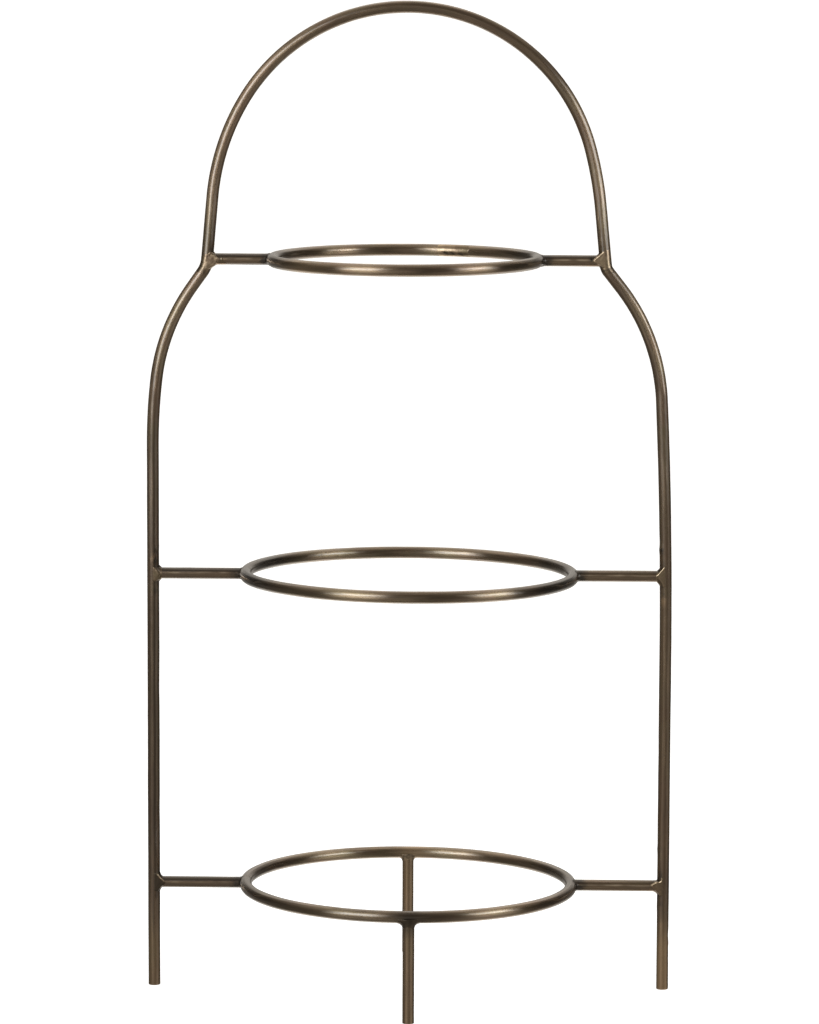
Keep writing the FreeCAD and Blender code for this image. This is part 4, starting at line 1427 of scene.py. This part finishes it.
def brass(name, seed, tone=(0.235, 0.159, 0.091), spread=1.0, darkness=0.5, brushed=1.0, rough=0.295, aniso=1.0, coat_rough=0.14, pits=0.6, worn_and_highlight_tint=(1.0, 0.98, 0.92), coat=1.0):
    """Lacquered antique brass. tone: the mean reflectance; spread: how much the patina varies;
    aniso: how strongly the finish is brushed along the bar."""
    mat = bpy.data.materials.new(name)
    N = Nodes(mat)
    out = N.new("ShaderNodeOutputMaterial")
    bsdf = N.new("ShaderNodeBsdfPrincipled")
    N.link(bsdf.outputs[0], out.inputs["Surface"])
    at = N.new("ShaderNodeAttribute", attribute_type="GEOMETRY", attribute_name="bar")
    gr = N.new("ShaderNodeAttribute", attribute_type="GEOMETRY", attribute_name="oxide_and_shade")
    wr = N.new("ShaderNodeAttribute", attribute_type="GEOMETRY", attribute_name="wear_and_painted_light")
    v = N.shifted(at.outputs["Vector"], (seed * 1.37, seed * 0.73, seed * 11.1))
    oxide_and_shade = gr.outputs["Fac"]

    def shade(k, r=1.0, g=1.0, b_=1.0):
        return (tone[0] * k * r, tone[1] * k * g, tone[2] * k * b_)

    # coordinates in millimetres: across the bar, and stretched along it
    lengthwise = N.scaled(v, (1.0, 1.0, 0.05))
    wide = N.noise(lengthwise, 0.75, 2.0, 0.55)
    streak = N.noise(lengthwise, 2.1, 2.0, 0.6)
    fine = N.noise(N.scaled(v, (1.0, 1.0, 0.03)), 5.2, 1.0, 0.5)
    cloud = N.noise(N.scaled(v, (0.10, 0.10, 0.040)), 1.0, 3.0, 0.6, 0.4)
    cloud2 = N.noise(N.scaled(N.shifted(v, (31.0, 7.0, 3.0)), (0.16, 0.16, 0.05)), 1.0, 3.0, 0.6, 0.4)
    mottle = N.noise(v, 0.9, 3.0, 0.65)
    speck = N.noise(v, 2.4, 1.0, 0.5)
    # colour: patches of red-brown and olive, worn brass where the belt ran, oxide in the lines
    col = N.mix(N.span(cloud, 0.40, 0.62), shade(1.0), shade(0.98, 1.0, 0.93, 0.95))
    col = N.mix(N.span(cloud2, 0.46, 0.66, 0.0, 0.85), col, shade(1.02, 0.99, 1.06, 0.97))
    col = N.mix(N.span(wide, 0.52, 0.72, 0.0, 0.60 * spread), col, shade(1.62, 1.0, 1.03, 1.08))
    col = N.mix(N.span(streak, 0.56, 0.78, 0.0, 0.35 * spread), col, shade(1.62, 1.0, 1.03, 1.08))
    oxide = N.math("ADD", N.span(wide, 0.50, 0.30, 0.0, 0.55), N.span(streak, 0.46, 0.28, 0.0, 0.45))
    oxide = N.math("ADD", oxide, N.span(mottle, 0.56, 0.72, 0.0, 0.30))
    oxide = N.math("MULTIPLY", oxide, darkness)
    oxide = N.math("ADD", oxide, N.math("MULTIPLY", N.span(speck, 0.66, 0.76), 0.5 * pits), clamp=True)
    col = N.mix(oxide, col, shade(0.40, 1.0, 1.0, 1.06))
    # worn lighter or left darker over long stretches, and the painted highlights and painted shade that ride in the
    # same values
    col = N.mix(N.span(wr.outputs["Fac"], 0.0, 2.0), col, shade(3.0, *worn_and_highlight_tint))
    col = N.mix(N.span(wr.outputs["Fac"], 0.0, -1.0), col, shade(0.30, 1.0, 1.0, 1.0))
    # oxide and painted shade: darkened in the corners and creases the attribute marks
    gm = N.math("MULTIPLY", oxide_and_shade, N.span(mottle, 0.25, 0.6, 0.65, 1.0), clamp=True)
    col = N.mix(gm, col, shade(0.15, 1.0, 1.05, 1.15))
    N.link(col, bsdf.inputs["Base Color"])
    bsdf.inputs["Metallic"].default_value = 1.0
    # roughness: smoother where polished, duller in oxide and grime
    rg = N.math("ADD", N.span(wide, 0.30, 0.72, rough + 0.03, rough - 0.03), N.span(streak, 0.3, 0.7, 0.02, -0.02))
    rg = N.math("ADD", rg, N.math("MULTIPLY", oxide, 0.05))
    rg = N.math("ADD", rg, N.math("MULTIPLY", gm, 0.12), clamp=True)
    N.link(rg, bsdf.inputs["Roughness"])
    if aniso > 0:
        tg = N.new("ShaderNodeTangent", direction_type="UV_MAP", uv_map="UVMap")
        N.link(tg.outputs[0], bsdf.inputs["Tangent"])
        bsdf.inputs["Anisotropic"].default_value = aniso
        bsdf.inputs["Anisotropic Rotation"].default_value = 0.25
    bsdf.inputs["Coat Weight"].default_value = coat
    bsdf.inputs["Coat Roughness"].default_value = coat_rough
    bsdf.inputs["Coat IOR"].default_value = 1.6
    # relief: brushing lines, hand-worked unevenness, small pits
    b1 = N.new("ShaderNodeBump")
    b1.inputs["Strength"].default_value = 1.0
    b1.inputs["Distance"].default_value = 1.6e-5 * brushed
    N.link(streak, b1.inputs["Height"])
    b2 = N.new("ShaderNodeBump")
    b2.inputs["Strength"].default_value = 1.0
    b2.inputs["Distance"].default_value = 0.6e-5 * brushed
    N.link(fine, b2.inputs["Height"])
    N.link(b1.outputs[0], b2.inputs["Normal"])
    b3 = N.new("ShaderNodeBump")
    b3.inputs["Strength"].default_value = 1.0
    b3.inputs["Distance"].default_value = 1.6e-5 if aniso > 0 else 3.0e-5
    hgt = N.math("ADD", N.math("MULTIPLY", mottle, 0.6), N.math("MULTIPLY", N.span(speck, 0.66, 0.78), -1.0 * pits))
    N.link(hgt, b3.inputs["Height"])
    N.link(b2.outputs[0], b3.inputs["Normal"])
    N.link(b3.outputs[0], bsdf.inputs["Normal"])
    N.link(b1.outputs[0], bsdf.inputs["Coat Normal"])
    return mat


MATS = {
    "antique_brass_frame": brass("antique_brass_frame", 1.0, (0.206, 0.143, 0.086)),
    "antique_brass_ring": brass("antique_brass_ring", 2.0, (0.240, 0.171, 0.104), darkness=0.4, brushed=0.6),
    "antique_brass_tie_bar": brass("antique_brass_tie_bar", 3.0, (0.255, 0.175, 0.106), darkness=0.55, pits=0.3, worn_and_highlight_tint=(0.94, 1.10, 1.30)),
    "antique_brass_leg": brass("antique_brass_leg", 4.0, (0.245, 0.171, 0.104), darkness=0.45, rough=0.245, coat_rough=0.12),
    "weld_metal": brass("weld_metal", 5.0, (0.215, 0.152, 0.091), darkness=0.35, brushed=0.4, rough=0.34, aniso=0.0, coat_rough=0.28, pits=0.5, coat=0.5, worn_and_highlight_tint=(0.98, 1.04, 1.12)),
}
for node, ob in PIECES.items():
    ob.data.materials.clear()
    ob.data.materials.append(MATS[ob["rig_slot"]])
for node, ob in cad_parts.items():
    for ms in ob.material_slots:
        ms.material = MATS[SLOT[node.split("_")[0]]]

# =====================================================================================
# Plain floor, soft studio light
# =====================================================================================
AIM = Vector((0.0, 0.0, 0.28))


def direction(az, el):
    """az from the front towards +X, el up, in degrees."""
    a, e = math.radians(az), math.radians(el)
    return Vector((math.cos(e) * math.sin(a), -math.cos(e) * math.cos(a), math.sin(e)))


def softbox(name, az, el, dist, width, height, radiance, color=(1, 1, 1), roll=0.0):
    li = bpy.data.lights.new(name, "AREA")
    li.shape = "RECTANGLE"
    li.size, li.size_y = width, height
    li.energy = radiance * math.pi * width * height
    li.color = color
    ob = bpy.data.objects.new(name, li)
    scene.collection.objects.link(ob)
    d = direction(az, el)
    ob.location = AIM + d * dist
    q = d.to_track_quat("Z", "Y")
    ob.rotation_euler = (q.to_matrix() @ Matrix.Rotation(math.radians(roll), 3, "Z")).to_euler()
    ob.visible_camera = False
    return ob


# each soft light is three nested panels, so that it fades towards its rim
KEY_TINT = (0.935, 1.0, 1.06)
for name, az, el, dist, sizes in (
    ("left", -34.5, 16.0, 1.6, ((44, 50, 0.75), (31, 38, 2.4), (20, 26, 2.6))),
    ("right", 62.0, 15.5, 1.6, ((42, 43, 0.6), (30, 32, 2.1), (18, 21, 2.3))),
):
    for k, (wide, high, radiance) in enumerate(sizes):
        softbox("softbox_%s_%d" % (name, k), az, el, dist + 0.01 * k, 2 * dist * math.tan(math.radians(wide / 2)), 2 * dist * math.tan(math.radians(high / 2)), radiance, KEY_TINT)

world = bpy.data.worlds.new("world")
scene.world = world
world.use_nodes = True
wt = world.node_tree
wt.nodes.clear()
W = Nodes.__new__(Nodes)
W.t = wt
wo = W.new("ShaderNodeOutputWorld")
bg = W.new("ShaderNodeBackground")
W.link(bg.outputs[0], wo.inputs["Surface"])
tc = W.new("ShaderNodeTexCoord")


def towards(az, el):
    n = W.new("ShaderNodeVectorMath", operation="DOT_PRODUCT")
    W.link(tc.outputs["Generated"], n.inputs[0])
    n.inputs[1].default_value = direction(az, el)
    return n.outputs["Value"]


def lobe(az, el, radius, strength):
    """A soft patch of brightness round one direction, out to the given angle."""
    return W.span(towards(az, el), math.cos(math.radians(radius)), 1.0, 0.0, strength)


level = None
for args in (
    (180, 50, 40, 1.10), (180, -54, 44, 1.35),             # white sweep behind, above and below the stand's horizon
    (-72, 63, 40, 0.38), (90, 60, 38, 0.25),               # spill high on both sides
    (-28, -38, 42, 0.22), (60, -38, 36, 0.24),             # the table in front
    (-5, 5, 26, 0.24), (-112, 50, 28, 0.13), (114, 50, 28, 0.10), (180, 4, 30, 0.22),
    (-38, -14, 20, 0.30), (67, -14, 22, 0.29),             # the keys again, mirrored in the table's edge
):
    part = lobe(*args)
    level = part if level is None else W.math("ADD", level, part)
room = W.math("SUBTRACT", 0.155, W.math("ADD", W.math("ADD", lobe(-132, 24, 46, 0.10), lobe(120, 14, 50, 0.10)), lobe(0, -90, 30, 0.10)))
room = W.math("MAXIMUM", room, 0.02)
level = W.math("ADD", level, room)
rgb = W.new("ShaderNodeVectorMath", operation="SCALE")
rgb.inputs[0].default_value = (1.02, 0.96, 0.87)
W.link(level, rgb.inputs["Scale"])
lp = W.new("ShaderNodeLightPath")
wcol = W.mix(lp.outputs["Is Camera Ray"], rgb.outputs[0], (1.0, 1.0, 1.0))
W.link(wcol, bg.inputs[0])
bg.inputs[1].default_value = 1.0

me = bpy.data.meshes.new("floor")
me.from_pydata([(-15, -6, 0), (15, -6, 0), (15, 30, 0), (-15, 30, 0)], [], [(0, 1, 2, 3)])
floor = bpy.data.objects.new("floor", me)
scene.collection.objects.link(floor)
fm = bpy.data.materials.new("floor")
F = Nodes(fm)
fo = F.new("ShaderNodeOutputMaterial")
seen = F.new("ShaderNodeAddShader")
sd = F.new("ShaderNodeBsdfDiffuse")
sd.inputs[0].default_value = (0.9, 0.9, 0.9, 1)
se = F.new("ShaderNodeEmission")
se.inputs[0].default_value = (1, 1, 1, 1)
se.inputs[1].default_value = 0.72
F.link(sd.outputs[0], seen.inputs[0])
F.link(se.outputs[0], seen.inputs[1])
lit = F.new("ShaderNodeBsdfTransparent")
flp = F.new("ShaderNodeLightPath")
fmix = F.new("ShaderNodeMixShader")
F.link(flp.outputs["Is Camera Ray"], fmix.inputs[0])
F.link(lit.outputs[0], fmix.inputs[1])
F.link(seen.outputs[0], fmix.inputs[2])
F.link(fmix.outputs[0], fo.inputs["Surface"])
me.materials.append(fm)

scene.view_settings.view_transform = "Standard"
scene.view_settings.look = "None"
scene.view_settings.exposure = 0.0
scene.view_settings.gamma = 1.0
